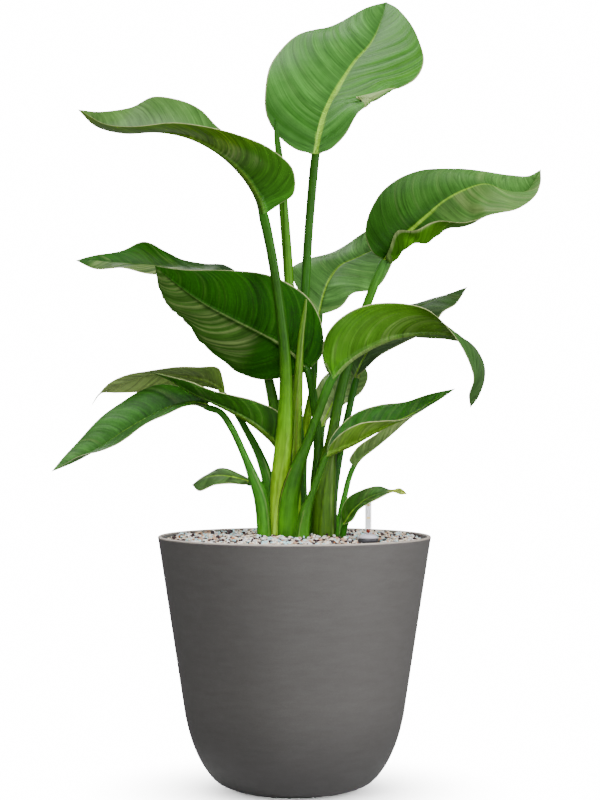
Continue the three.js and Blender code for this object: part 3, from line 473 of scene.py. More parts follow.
def curve(points, shares):
    """Points at shares of the length of the centripetal Catmull-Rom curve through points."""
    p = np.asarray(points, float)
    p = np.vstack([2 * p[0] - p[1], p, 2 * p[-1] - p[-2]])
    runs = []
    t = np.linspace(0, 1, 41)[:, None]
    for p0, p1, p2, p3 in zip(p, p[1:], p[2:], p[3:]):
        gaps = [max(np.sum((b - a)[:3] ** 2) ** 0.25, 1e-4) for a, b in ((p0, p1), (p1, p2), (p2, p3))]
        d0, d1, d2 = gaps
        m1 = ((p1 - p0) / d0 - (p2 - p0) / (d0 + d1) + (p2 - p1) / d1) * d1
        m2 = ((p2 - p1) / d1 - (p3 - p1) / (d1 + d2) + (p3 - p2) / d2) * d1
        run = p1 + m1 * t + (3 * p2 - 3 * p1 - 2 * m1 - m2) * t ** 2 + (2 * p1 - 2 * p2 + m1 + m2) * t ** 3
        runs.append(run if not runs else run[1:])
    line = np.vstack(runs)
    reach = np.r_[0, np.cumsum(np.linalg.norm(np.diff(line[:, :3], axis=0), axis=1))]
    wanted = np.asarray(shares) * reach[-1]
    return np.stack([np.interp(wanted, reach, line[:, k]) for k in range(line.shape[1])], -1)


def length_of(points):
    line = curve(points, np.linspace(0, 1, 101))
    return float(np.sum(np.linalg.norm(np.diff(line, axis=0), axis=1)))


def unit(v):
    return v / np.maximum(np.linalg.norm(v, axis=-1, keepdims=True), 1e-9)


def ease(f):
    """f from 0 to 1, with a smooth start and end."""
    return f * f * (3 - 2 * f)


def peak(x, centre, width):
    """A smooth hump of height 1 round centre."""
    return np.exp(-((x - centre) / width) ** 2)


def smooth_list(values, t):
    """A value that eases from one entry of values to the next as t goes from 0 to 1."""
    values = np.array(values, float)
    if len(values) == 1:
        return np.full(np.shape(t), values[0])
    x = np.asarray(t) * (len(values) - 1)
    i = np.clip(x.astype(int), 0, len(values) - 2)
    f = ease(x - i)
    return values[i] * (1 - f) + values[i + 1] * f


def mixed(a, b, share):
    share = np.clip(share, 0, 1)[..., None]
    return a * (1 - share) + b * share


def grid_triangles(number):
    """Triangles over a grid of vertex numbers, without those that shrink to nothing."""
    a, b, c, d = number[:-1, :-1], number[:-1, 1:], number[1:, 1:], number[1:, :-1]
    triangles = np.concatenate([np.stack(corners, -1).reshape(-1, 3) for corners in ((a, b, c), (a, c, d))])
    first, second, third = triangles.T
    return triangles[(first != second) & (second != third) & (first != third)]


def new_piece(name, points, faces, smooth=True):
    """A piece from points in millimetres and lists of point numbers."""
    mesh = bpy.data.meshes.new(name)
    mesh.from_pydata((np.asarray(points) * MM).tolist(), [], faces)
    mesh.polygons.foreach_set("use_smooth", np.full(len(faces), smooth))
    mesh.update()
    piece = bpy.data.objects.new(name, mesh)
    bpy.context.scene.collection.objects.link(piece)
    return piece


class Shape:
    """Points, triangles, colours and grain coordinates that grow into one mesh."""

    def __init__(self):
        self.points = []
        self.colours = []
        self.grain = []
        self.triangles = []
        self.materials = []
        self.count = 0

    def add_triangles(self, triangles, material=0):
        self.triangles.append(triangles)
        self.materials.append(np.full(len(triangles), material, np.int32))

    def add(self, points, triangles, colours, grain, material=0):
        self.points.append(points.reshape(-1, 3))
        self.colours.append(colours.reshape(-1, 3))
        self.grain.append(grain.reshape(-1, 3))
        self.add_triangles(triangles + self.count, material)
        self.count += len(self.points[-1])

    def make(self, name, materials):
        piece = new_piece(name, np.concatenate(self.points), np.concatenate(self.triangles).tolist())
        mesh = piece.data
        mesh.polygons.foreach_set("material_index", np.concatenate(self.materials))
        paint = np.c_[np.concatenate(self.colours), np.ones(self.count)]
        mesh.color_attributes.new("paint", "FLOAT_COLOR", "POINT").data.foreach_set("color", paint.ravel())
        grain = np.concatenate(self.grain)
        mesh.attributes.new("grain", "FLOAT_VECTOR", "POINT").data.foreach_set("vector", grain.ravel())
        for material in materials:
            mesh.materials.append(material)
        mesh.update()
        return piece


def vein_noise(phase, pitch, seed):
    """A smooth random value from -1 to 1 that changes from one side vein to the next."""
    heights = np.random.default_rng(int(1000 + 37 * seed + 10 * pitch)).uniform(-1, 1, 400)
    x = phase / pitch + 50
    i = np.floor(x).astype(int)
    f = ease(x - i)
    return heights[i] * (1 - f) + heights[i + 1] * f


def pleats(phase, seed):
    """The uneven folds along the side veins, from about -1 to 1."""
    wide, narrow = PLEAT_PITCHES
    return (vein_noise(phase, wide, seed) + 0.7 * vein_noise(phase, narrow, seed + 3)) / 1.3


def window(x, low, high, soft):
    """1 from low to high, easing to 0 over soft outside them."""
    return ease(np.clip((x - low) / soft + 1, 0, 1)) * ease(np.clip((high - x) / soft + 1, 0, 1))


def fold_over(leaf, side, t, s):
    """How far each point lies in a margin folded back over the blade, and its reach from the midrib."""
    folded_side, begin, end, extra = leaf["fold"]
    if folded_side != side:
        return np.zeros_like(s), s
    rise = np.clip((t - begin) / FOLD_RISE, 0, 1)
    fall = np.clip((end - t) / (end - begin - FOLD_RISE), 0, 1)
    stretched = s * (1 + extra * rise * fall)
    turned_back = np.clip(stretched - 1, 0, None)
    return turned_back, np.minimum(stretched, 1) - FOLD_RETURN * turned_back


def blade_shares(rib_share):
    """Shares of a half blade's width where it has points: close together by the midrib and at the edge."""
    near = np.linspace(0, 1, RIB_COLUMNS + 1)[1:]
    far = 1 - (1 - np.linspace(0, 1, BLADE_COLUMNS + 1)[1:]) ** EDGE_GATHER
    return np.concatenate([rib_share * near, rib_share + (1 - rib_share) * far])


def half_blade(leaf, side, x, seed):
    """One half from midrib to edge, with its rows laid along the side veins, which sweep towards the tip."""
    root, tip = leaf["rib"][0], leaf["rib"][-1]
    length = length_of(place(leaf["rib"]))
    table = np.linspace(0, 1, CURVE_POINTS)
    rib = curve(place(leaf["rib"]), table)
    edge = curve(place([root, *leaf["right" if side else "left"], tip]), table)
    across = edge - rib
    along = unit(np.gradient(rib, axis=0))
    up = unit(np.cross(across, along)) * (1 if side else -1)
    up[:3], up[-3:] = up[3], up[-4]
    width = np.linalg.norm(across, axis=1)
    rib_share = min(0.4, 1.6 * leaf["stem"][-1][3] / width.max())
    s = np.broadcast_to(blade_shares(rib_share), (len(x), RIB_COLUMNS + BLADE_COLUMNS))
    start_of_vein = x[:, None] ** ROW_GATHER
    t = start_of_vein ** (1 - leaf["sweep"] * s ** VEIN_BEND)

    def at(values):
        if values.ndim == 1:
            return np.interp(t, table, values)
        return np.stack([np.interp(t, table, values[:, k]) for k in range(3)], -1)

    height, ripples, start = leaf["wave"]
    breadth = at(width)
    swell = np.sqrt(np.sin(math.pi * t).clip(0))
    phase = length * start_of_vein + 0 * s
    fold = pleats(phase, seed + 5 * side)
    turned_back, reach = fold_over(leaf, side, t, s)
    folded = turned_back * breadth
    ripple = height * swell * np.sin(2 * math.pi * (ripples * t + start + RIPPLE_OFFSET * side))
    ragged = leaf["ragged"][side] * vein_noise(phase, RAGGED_PITCH, seed + 8) * s ** 8 * swell
    bow = BOW * smooth_list(leaf["arch"][side], t) * breadth
    calm = np.clip(4 * s, 0, 1) * np.clip(3 * (1 - s), 0.3, 1) * swell
    lift = bow * s * (1 - s) + ripple * s ** RIPPLE_REACH + leaf["pleat"] * fold * calm
    lift = lift + FOLD_HEIGHT * (1 - np.exp(-folded / FOLD_ROUNDING))
    reach = reach + ragged / np.maximum(breadth, 8)
    facing = 1 - 2 * np.clip(folded / 1.2, 0, 1)
    return {"points": at(rib) + at(across) * reach[..., None] + at(up) * lift[..., None],
            "ups": unit(at(up)) * facing[..., None], "s": s, "t": t, "fold": fold,
            "turned_back": turned_back, "phase": phase, "from_rib": s * breadth,
            "from_edge": (1 - s) * breadth}


def add_blade(shape, leaf, seed):
    """Both faces of a leaf's blade, closed round its edge."""
    length = length_of(place(leaf["rib"]))
    x = np.linspace(0, 1, max(30, round(length / ROW_STEP)) + 1)
    halves = [half_blade(leaf, side, x, seed) for side in (0, 1)]
    t_rib = x ** ROW_GATHER
    none = 0 * x
    middle = {"points": curve(place(leaf["rib"]), t_rib),
              "ups": unit(halves[0]["ups"][:, 0] + halves[1]["ups"][:, 0]),
              "s": none, "t": t_rib, "fold": none, "turned_back": none, "phase": length * t_rib,
              "from_rib": none, "from_edge": none + FAR}
    joined = {key: np.concatenate([halves[0][key][:, ::-1], middle[key][:, None], halves[1][key]], 1)
              for key in middle}
    columns = joined["s"].shape[1]
    side = np.sign(np.arange(columns) - columns // 2)[None] + 0 * joined["s"]
    taper = (1 - joined["t"]).clip(0) ** MIDRIB_TAPER
    radius = leaf["stem"][-1][3] * taper * MIDRIB_SIZE
    seen_rib = np.maximum(radius * leaf["rib_width"], THINNEST_RIB)
    from_rib = joined["from_rib"] / np.maximum(radius, THINNEST_RIB)
    thickness = HALF_THICKNESS * np.clip(0.45 + joined["from_edge"] / 2, 0, 1)
    depth = radius * (1 + (leaf["under"] + ROOT_SWELL) * np.exp(-joined["t"] / ROOT_REACH))
    ridge = depth * np.sqrt(np.clip(1 - (from_rib / 1.1) ** 2, 0, 1))
    groove = 0.25 * radius * peak(from_rib, 0, 0.6)
    grain = np.stack([joined["phase"] * MM, joined["s"] * side * GRAIN_ACROSS, 0 * side + seed], -1)
    number = np.arange(len(x) * columns).reshape(-1, columns)
    number[0], number[-1] = number[0, columns // 2], number[-1, columns // 2]
    triangles = grid_triangles(number)
    upper = joined["points"] + joined["ups"] * (thickness - groove)[..., None]
    lower = joined["points"] - joined["ups"] * (thickness + ridge)[..., None]
    paint = blade_paint(leaf, "upper", joined, side, joined["from_rib"] / seen_rib, seed)
    shape.add(upper, triangles, paint, grain)
    paint = blade_paint(leaf, "lower", joined, side, from_rib / leaf["keel_width"], seed)
    shape.add(lower, triangles[:, ::-1], paint, grain)
    first = shape.count - 2 * number.size
    for column in (0, columns - 1):
        rim = first + number[:, column]
        triangles = grid_triangles(np.stack([rim + number.size, rim], 1))
        shape.add_triangles(triangles[:, ::-1] if column else triangles)


def blade_paint(leaf, face, grid, side, from_rib, seed):
    """Each point's colour: the face's own green with painted light and shade on its folds, creases and beside
    the midrib, its side veins, marks, midrib and pale margin.
    """
    t, s, fold, phase = grid["t"], grid["s"], grid["fold"], grid["phase"]
    off_rib = np.clip(3 * s, 0, 1)
    base, end = (colour(name) for name in leaf[face])
    # drift varies the tone slowly across the blade, partly as painted light and shade; shade is painted shade
    # beside the midrib; contrast paints light and shade along the pleats.
    drift = np.sin(5.1 * t + 2.7 * s * side + seed) * np.sin(2.2 * t - 1.9 * s + 2 * seed)
    shade = 1 - leaf["crease"] * peak(s, 0.06, 0.16) * (1 - 0.5 * t)
    light = (1 + leaf["contrast"] * fold * off_rib) * (1 + 0.12 * drift) * shade
    paint = mixed(base, end, t) * light[..., None]
    vein = np.clip(vein_noise(phase, VEIN_PITCH, seed + 2) - 0.5, 0, 1) * 2 * np.clip(4 * s, 0, 1)
    paint = mixed(paint, colour("pale"), vein * leaf["veins"])
    # Thin lines of painted shade, each with a painted highlight beside it, along the creases.
    crease = vein_noise(phase, leaf["crease_pitch"], seed + 6)
    lines = 0.6 * peak(crease, 0.5, 0.2) - peak(crease, 0, 0.16)
    paint = paint * (1 + leaf["lines"] * lines * off_rib)[..., None]
    strokes = np.clip(0.35 + 1.4 * vein_noise(phase, leaf["mark_pitch"], seed + 4) + 0.4 * fold, 0, 1)
    strokes = strokes * np.clip(0.75 + 0.9 * vein_noise(phase + 9 * s, GROUP_PITCH, seed + 9), 0.15, 1)
    for which, half, t0, t1, s0, s1, strength, name in leaf["marks"]:
        if which == face:
            where = window(t, t0, t1, 0.1) * window(s, s0, s1, 0.2) * ((side > 0) == bool(half))
            paint = mixed(paint, colour(name), strength * where * (0.2 + 0.8 * strokes))
    if face == "upper":
        rib_colour, strength = colour("rib"), leaf["midrib"] * np.clip(1.7 - 1.8 * t, 0, 1)
    else:
        rib_colour, strength = colour(leaf["keel"]), 0.7 * (1 - t) * np.clip(0.3 + 5 * t, 0, 1)
        paint = mixed(paint, colour("pale"), 0.8 * np.clip(grid["turned_back"] * 12, 0, 1))
    paint = mixed(paint, rib_colour, np.clip((0.9 - from_rib) * 3 + 0.5, 0, 1) * strength)
    margin = np.clip((MARGIN - grid["from_edge"]) * 2 + 0.5, 0, 1) * np.sin(math.pi * t).clip(0) ** 0.7
    return mixed(paint, colour("cream"), leaf["margin"] * margin)


def stem_rows(leaf):
    """The stem's rows, run on into the start of the midrib so that the two grow together."""
    if "rib" not in leaf:
        return leaf["stem"]
    a, b = (np.array(p, float) for p in leaf["rib"][:2])
    wide, thick = leaf["stem"][-1][3:]
    ends = ((0.25, 0.8), (0.5, 0.4))
    return [*leaf["stem"], *((*(a + (b - a) * share), wide * size, thick * size) for share, size in ends)]


def stem_frame(leaf):
    """A stem's centres, its two cross directions and its half sizes, row by row."""
    rows = np.array(stem_rows(leaf), float)
    line = np.hstack([place(rows[:, :3]), rows[:, 3:]])
    if "rib" in leaf:
        root, ahead = place(leaf["rib"][:2])
        up = unit(np.cross(place(leaf["right"][0]) - place(leaf["left"][0]), ahead - root))
        line[-3:, :3] -= up * (leaf["under"] * line[-3:, 4:] + HALF_THICKNESS)
    steps = max(12, round(length_of(line[:, :3]) / STEM_STEP))
    swept = curve(line, np.linspace(0, 1, steps + 1))
    centre, sizes = swept[:, :3], swept[:, 3:]
    along = unit(np.gradient(centre, axis=0))
    wide = unit(np.array([1.0, 0, 0]) - along * along[:, :1])
    return centre, wide, np.cross(along, wide), sizes, steps


def seam_line(seam, t, turn, sizes):
    """The raised edge of a sheath, and how far each point lies past it, in millimetres round the stem."""
    begin, low, end, high, *_ = seam
    angle = np.radians(low + (high - low) * (t - begin) / (end - begin))
    off = (turn[None] - angle[:, None] + math.pi) % (2 * math.pi) - math.pi
    distance = off * sizes.mean(1)[:, None] + FAR * (1 - window(t, begin, end, 0.02))[:, None]
    past = np.clip(distance / 1.2 + 0.5, 0, 1) * np.exp(-np.clip(distance, 0, None) / SEAM_FADE)
    return past, distance


def add_stem(shape, leaf, seed):
    """A stem with faint flutes, a shallow channel along its front and the edges of its sheaths, each with a
    painted shadow beside it.
    """
    centre, wide, thick, sizes, steps = stem_frame(leaf)
    turn = 2 * math.pi * np.arange(STEM_SIDES) / STEM_SIDES
    flutes = 1 + 0.012 * np.cos(8 * turn) - 0.1 * peak(turn, 1.5 * math.pi, 0.5)
    t = np.linspace(0, 1, steps + 1)
    lines = [seam_line(seam, t, turn, sizes) for seam in leaf["seams"]]
    ledges = sum((ledge for ledge, _ in lines), np.zeros_like(turn))
    around = sizes[:, :, None] + SEAM_HEIGHT * ledges[..., None, :]
    points = (centre[:, None] + wide[:, None] * (around[:, 0] * np.cos(turn) * flutes)[..., None]
              + thick[:, None] * (around[:, 1] * np.sin(turn) * flutes)[..., None])
    # The colours along the stem include sun and shaded, which are painted light and painted shade.
    stops = np.array([colour(name) for name in leaf["stem_colours"]])
    spread = np.linspace(0, 1, len(stops))
    paint = np.stack([np.interp(t, spread, stops[:, k]) for k in range(3)], -1)
    streak = 0.06 * np.sin(5 * turn + seed) + 0.05 * np.sin(11 * turn + 2 * seed)
    paint = paint[:, None] * (1 + streak)[None, :, None]
    for (*_, name, strength), (_, distance) in zip(leaf["seams"], lines):
        # Painted shadow beside each sheath's edge, then the edge's own paler colour.
        paint = paint * (1 - 0.35 * peak(distance, -1.2, 1.0))[..., None]
        paint = mixed(paint, colour(name), 0.6 * strength * peak(distance, 0.3, 0.7))
    reach = np.repeat((t * length_of(centre))[:, None], STEM_SIDES, 1)
    around_stem = np.repeat(turn[None] * GRAIN_ROUND_STEM * MM, steps + 1, 0)
    grain = np.stack([around_stem, reach * GRAIN_ALONG_STEM * MM, 0 * reach + seed], -1)
    number = np.arange((steps + 1) * STEM_SIDES).reshape(-1, STEM_SIDES)
    fan = np.arange(1, STEM_SIDES - 1)
    foot = np.stack([0 * fan, fan + 1, fan], 1)
    head = np.stack([0 * fan, fan, fan + 1], 1) + steps * STEM_SIDES
    triangles = np.concatenate([grid_triangles(np.c_[number, number[:, :1]]), foot, head])
    shape.add(points, triangles, paint, grain, 1)


def link(tree, a, b):
    tree.links.new(a, b)


def add_node(tree, kind, **values):
    """A node with its values set, and its inputs linked where the value is another node's output."""
    node = tree.nodes.new(kind)
    for key, value in values.items():
        if isinstance(value, bpy.types.NodeSocket):
            link(tree, value, node.inputs[key])
        elif key in node.inputs:
            node.inputs[key].default_value = value
        else:
            setattr(node, key, value)
    return node


def new_material(name):
    """A material, its node tree, its shader and the object's own coordinates."""
    material = bpy.data.materials.new(name)
    material.use_nodes = True
    tree = material.node_tree
    where = add_node(tree, "ShaderNodeTexCoord").outputs["Object"]
    return material, tree, tree.nodes["Principled BSDF"], where


def noise(tree, vector, scale, detail, roughness):
    node = add_node(tree, "ShaderNodeTexNoise", Vector=vector, Scale=scale, Detail=detail,
                    Roughness=roughness)
    return node.outputs["Fac"]


def mapped(tree, source, span, ends, interpolation="LINEAR"):
    """source over span as a value that runs between ends, held beyond them."""
    node = add_node(tree, "ShaderNodeMapRange", interpolation_type=interpolation, Value=source)
    for socket, value in zip(("From Min", "From Max", "To Min", "To Max"), (*span, *ends)):
        node.inputs[socket].default_value = value
    return node.outputs["Result"]


def ramp(tree, source, low, high, dark, light):
    """source from low to high as a colour from dark to light."""
    node = add_node(tree, "ShaderNodeValToRGB", Fac=source)
    for element, position, colour_there in zip(node.color_ramp.elements, (low, high), (dark, light)):
        element.position = position
        element.color = (*colour_there, 1)
    return node.outputs["Color"]


def multiplied(tree, a, b):
    node = add_node(tree, "ShaderNodeMix", data_type="RGBA", blend_type="MULTIPLY", Factor=1, A=a, B=b)
    return node.outputs["Result"]


def bump(tree, shader, height, strength, distance):
    node = add_node(tree, "ShaderNodeBump", Strength=strength, Distance=distance, Height=height)
    link(tree, node.outputs["Normal"], shader.inputs["Normal"])


def painted_crease_shade(tree, source, strength):
    """Thin lines of painted shade with a line of painted highlight beside each, where source passes its
    middle value.
    """
    node = add_node(tree, "ShaderNodeValToRGB", Fac=source)
    stops = ((0.46, 1), (0.495, 1 - strength), (0.53, 1 + 0.8 * strength), (0.57, 1))
    while len(node.color_ramp.elements) < len(stops):
        node.color_ramp.elements.new(0.5)
    for element, (position, light) in zip(node.color_ramp.elements, stops):
        element.position = position
        element.color = (light, light, light, 1)
    return node.outputs["Color"]


def shades(rgb, shares, most):
    """A darker and a lighter shade of an sRGB colour as linear light, with no channel above most."""
    return [tuple(linear(np.minimum(np.array(rgb) * share, most))) for share in shares]


def speckled(name, grain, span, colours, roughness, relief):
    """A material whose colour and slight relief follow one fine noise."""
    material, tree, shader, where = new_material(name)
    speck = noise(tree, where, *grain)
    link(tree, ramp(tree, speck, *span, *colours), shader.inputs["Base Color"])
    shader.inputs["Roughness"].default_value = roughness
    bump(tree, shader, speck, *relief)
    return material


def grained(name, roughness, scales, depth, crease_shade_strength, shine):
    """Living tissue: painted colour with streaks along the grain, blotches, thin lines of painted shade and
    highlight, and a waxy gloss.
    """
    material, tree, shader, where = new_material(name)
    paint = add_node(tree, "ShaderNodeAttribute", attribute_name="paint")
    grain = add_node(tree, "ShaderNodeAttribute", attribute_name="grain").outputs["Vector"]
    coarse, middle, fine = scales
    blotch = noise(tree, where, coarse, 4.0, 0.55)
    painted = multiplied(tree, paint.outputs["Color"],
                         ramp(tree, blotch, 0.3, 0.7, (0.86, 0.9, 0.84), (1.12, 1.08, 1.1)))
    heights = []
    for scale, light in ((middle, 0.26), (fine, 0.1)):
        lines = noise(tree, grain, scale, 3.0, 0.65)
        painted = multiplied(tree, painted, ramp(tree, lines, 0.32, 0.68, (1 - light,) * 3, (1 + light,) * 3))
        heights.append(lines)
    # Painted shade and highlight along thin crease lines.
    folds = noise(tree, grain, middle * 0.4, 1.0, 0.5)
    painted = multiplied(tree, painted, painted_crease_shade(tree, folds, crease_shade_strength))
    link(tree, painted, shader.inputs["Base Color"])
    gloss = mapped(tree, blotch, (0, 1), (roughness - 0.06, roughness + 0.1))
    link(tree, gloss, shader.inputs["Roughness"])
    shader.inputs["Specular IOR Level"].default_value = shine
    relief = add_node(tree, "ShaderNodeMath", operation="MULTIPLY_ADD")
    relief.inputs[1].default_value = 0.25
    link(tree, heights[1], relief.inputs[0])
    link(tree, heights[0], relief.inputs[2])
    bump(tree, shader, relief.outputs["Value"], 0.6, depth)
    return material


def make_leaves():
    blades = {}
    for shine in sorted({leaf["gloss"] for leaf in LEAVES.values()}):
        name = f"leaf_blade_{round(100 * shine)}"
        blades[shine] = grained(name, 0.36, (55.0, 240.0, 1100.0), 0.0009, 0.3, shine)
    stems = grained("leaf_stem", 0.4, (70.0, 380.0, 1400.0), 0.0004, 0.1, USUAL["gloss"])
    for seed, (name, leaf) in enumerate(LEAVES.items()):
        shape = Shape()
        add_blade(shape, leaf, 1.3 * seed)
        add_stem(shape, leaf, 0.9 * seed)
        piece = shape.make(f"{name}_fine", [blades[leaf["gloss"]], stems])
        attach(piece, "planter")
        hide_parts(name)
    for seed, (name, leaf) in enumerate(ROLLED_LEAVES.items()):
        shape = Shape()
        add_stem(shape, leaf, 0.9 * seed)
        piece = shape.make(f"{name}_fine", [blades[leaf["gloss"]], stems])
        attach(piece, "planter")
        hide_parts(name)


def turned(name, profile, sides, centre=(0, 0)):
    """A body turned round an upright axis, from a closed profile or one that ends on the axis."""
    profile = np.array(profile, float)
    closed = np.allclose(profile[0], profile[-1])
    if closed:
        profile = profile[:-1]
    turn = 2 * math.pi * np.arange(sides) / sides
    x, y = centre
    points = []
    number = np.zeros((len(profile), sides), int)
    for i, (radius, height) in enumerate(profile):
        if radius < 1e-6:
            number[i] = len(points)
            points.append((x, y, height))
            continue
        number[i] = len(points) + np.arange(sides)
        points.extend((x + radius * math.cos(a), y + radius * math.sin(a), height) for a in turn)
    if closed:
        number = np.vstack([number, number[:1]])
    return new_piece(name, points, grid_triangles(np.c_[number, number[:, :1]]).tolist())


def pot_material():
    """Satin moulded plastic with faint level scuffs, dust, a paler lip and a shaded foot."""
    material, tree, shader, where = new_material("pot_plastic")
    stretch = add_node(tree, "ShaderNodeMapping", Vector=where, Scale=(12, 12, 60))
    scuffs = noise(tree, stretch.outputs["Vector"], 2.2, 8.0, 0.7)
    specks = noise(tree, where, 900.0, 2.0, 0.7)
    wall = ramp(tree, scuffs, 0.3, 0.72, linear((86, 84, 82)), linear((93, 91, 90)))
    dust = ramp(tree, specks, 0.35, 0.75, (0.93, 0.93, 0.93), (1.1, 1.09, 1.08))
    height = add_node(tree, "ShaderNodeSeparateXYZ", Vector=where).outputs["Z"]
    foot = ramp(tree, height, 0.0, 0.13, (0.45, 0.46, 0.48), (1, 1, 1))
    lip = mapped(tree, height, [(POT_HEIGHT - below) * MM for below in LIP_BAND], (0, 1))
    rimmed = add_node(tree, "ShaderNodeMix", data_type="RGBA", Factor=lip, B=(*linear((168, 158, 148)), 1),
                      A=multiplied(tree, multiplied(tree, wall, dust), foot))
    link(tree, rimmed.outputs["Result"], shader.inputs["Base Color"])
    shader.inputs["Roughness"].default_value = 0.55
    bump(tree, shader, specks, 0.25, 0.0004)
    return material


def make_pot():
    foot = curve([(r, 0, z) for r, z in OUTSIDE], np.linspace(0, 1, 40))[:, [0, 2]]
    inside = curve([(r, 0, z) for r, z in INSIDE[:-1]], np.linspace(0, 1, 30))[:, [0, 2]]
    half_lip = LIP_WIDTH / 2
    lip = [(RIM_RADIUS - half_lip + half_lip * math.cos(a), POT_HEIGHT - 2 + 2 * math.sin(a))
           for a in np.linspace(0, math.pi, 13)]
    profile = [(0, 0), *foot, (RIM_RADIUS - 1.2, POT_HEIGHT - 8), (RIM_RADIUS - 0.6, POT_HEIGHT - 5), *lip,
               (RIM_RADIUS - LIP_WIDTH - 0.8, POT_HEIGHT - 5), INSIDE[-1], *inside[::-1], (0, FLOOR)]
    pot = turned("pot_fine", profile, POT_SIDES)
    pot.data.materials.append(pot_material())
    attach(pot, "planter")
    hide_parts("pot")


def stone_material(name, rgb):
    return speckled(f"gravel_{name}", (260.0, 5.0, 0.7), (0.3, 0.7), shades(rgb, (0.76, 1.08), 250), 0.75,
                    (0.4, 0.0004))


def unit_stone():
    """A round body of 80 triangles to press stones from."""
    ball = bpy.data.meshes.new("ball")
    shape = bmesh.new()
    bmesh.ops.create_icosphere(shape, subdivisions=2, radius=1)
    shape.to_mesh(ball)
    shape.free()
    points = np.array([v.co for v in ball.vertices])
    triangles = np.array([p.vertices for p in ball.polygons])
    bpy.data.meshes.remove(ball)
    return points, triangles


def gravel_spots(rng):
    """Places of the stones: a jittered lattice over the bed, with some more lying on top."""
    keep_out = [(*GAUGE, RING_RADIUS + 2.0)]
    for leaf in (*LEAVES.values(), *ROLLED_LEAVES.values()):
        foot, above = (np.array(row, float) for row in leaf["stem"][:2])
        share = (GRAVEL_BED + 3 - foot[1]) / (above[1] - foot[1])
        row = foot + (above - foot) * share
        x, y, _ = place(row[:3])
        keep_out.append((x, y, max(row[3], row[4]) - 0.5))
    drop_start, drop_width = (share * GRAVEL_RADIUS for share in WALL_DROP_SPAN)
    steps = int(2 * GRAVEL_RADIUS / STONE_PITCH) + 2
    spots = []
    for i in range(steps):
        for j in range(round(steps * 1.16)):
            x = (i + 0.5 * (j % 2)) * STONE_PITCH - GRAVEL_RADIUS + rng.uniform(-STONE_JITTER, STONE_JITTER)
            y = j * STONE_PITCH * 0.866 - GRAVEL_RADIUS + rng.uniform(-STONE_JITTER, STONE_JITTER)
            radius = rng.uniform(*STONE_RADIUS) * (0.8 + 0.3 * rng.random())
            heap = HEAP * math.exp(-((x / HEAP_REACH[0]) ** 2 + (y / HEAP_REACH[1]) ** 2))
            drop = WALL_DROP * np.clip((math.hypot(x, y) - drop_start) / drop_width, 0, 1)
            reach = DIP_REACH_IN_FRONT if y < GAUGE[1] else DIP_REACH
            near_gauge = max(0, 1 - math.hypot((x - GAUGE[0]) / DIP_REACH, (y - GAUGE[1]) / reach))
            dip = GAUGE_DIP * min(1, 2 * near_gauge)
            height = GRAVEL_BED + STONE_LIFT + heap - drop - dip + rng.uniform(*STONE_SCATTER)
            spots.append((x, y, height, radius))
            if near_gauge == 0 and rng.random() < UPPER_SHARE:
                spots.append((x + 2.3, y + 1.9, height + rng.uniform(*UPPER_LIFT), radius * 0.85))
    clear = []
    for x, y, height, radius in spots:
        inside = math.hypot(x, y) < GRAVEL_RADIUS - 0.7 * radius
        if inside and all(math.hypot(x - a, y - b) > room + 0.55 * radius for a, b, room in keep_out):
            clear.append((x, y, height, radius))
    return clear


def pressed_stone(ball, radius, draw):
    """A stone with a few flat faces and proportions of its own, turned at random."""
    stone = ball
    axes = unit(draw.normal(size=(STONE_CUTS, 3)))
    for axis, cut in zip(axes, draw.uniform(0.62, 0.95, STONE_CUTS)):
        over = np.clip(stone @ axis - cut, 0, None)
        stone = stone - over[:, None] * axis * 0.9
    stretch = draw.uniform([0.8, 0.75, 0.6], [1.25, 1.1, 0.9])
    spin = draw.uniform(0, 2 * math.pi)
    x_axis = unit(np.array([math.cos(spin), math.sin(spin), draw.uniform(-0.4, 0.4)]))
    y_axis = unit(np.cross([0, 0, 1.0], x_axis))
    return (stone * stretch * radius) @ np.array([x_axis, y_axis, np.cross(x_axis, y_axis)])


def make_gravel():
    rng = random.Random(11)
    draw = np.random.default_rng(5)
    ball, triangles = unit_stone()
    weights = [weight for _, weight in STONES.values()]
    heaps = {name: [] for name in STONES}
    for spot in gravel_spots(rng):
        heaps[rng.choices(list(STONES), weights)[0]].append(spot)
    for name, spots in heaps.items():
        points = [pressed_stone(ball, radius, draw) + (x, y, height) for x, y, height, radius in spots]
        faces = [triangles + k * len(ball) for k in range(len(spots))]
        piece = new_piece(f"gravel_{name}", np.concatenate(points), np.concatenate(faces).tolist(), False)
        piece.data.materials.append(stone_material(name, STONES[name][0]))
        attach(piece, "planter")
        if name == "cream":
            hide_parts("gravel")
    profile = [(0, GRAVEL_BED - 8), (GRAVEL_RADIUS - 1.5, GRAVEL_BED - 8), (GRAVEL_RADIUS, GRAVEL_BED - 2),
               (0, GRAVEL_BED + 1.6)]
    bed = turned("gravel_bed", profile, BED_SIDES)
    # The bed's dark colour is painted shade in the gaps between the stones.
    bed.data.materials.append(stone_material("bed", (48, 38, 36)))
    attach(bed, "planter")


def plastic(name, rgb, roughness):
    return speckled(name, (700.0, 3.0, 0.5), (0.35, 0.65), shades(rgb, (0.94, 1.05), 252), roughness,
                    (0.15, 0.0002))


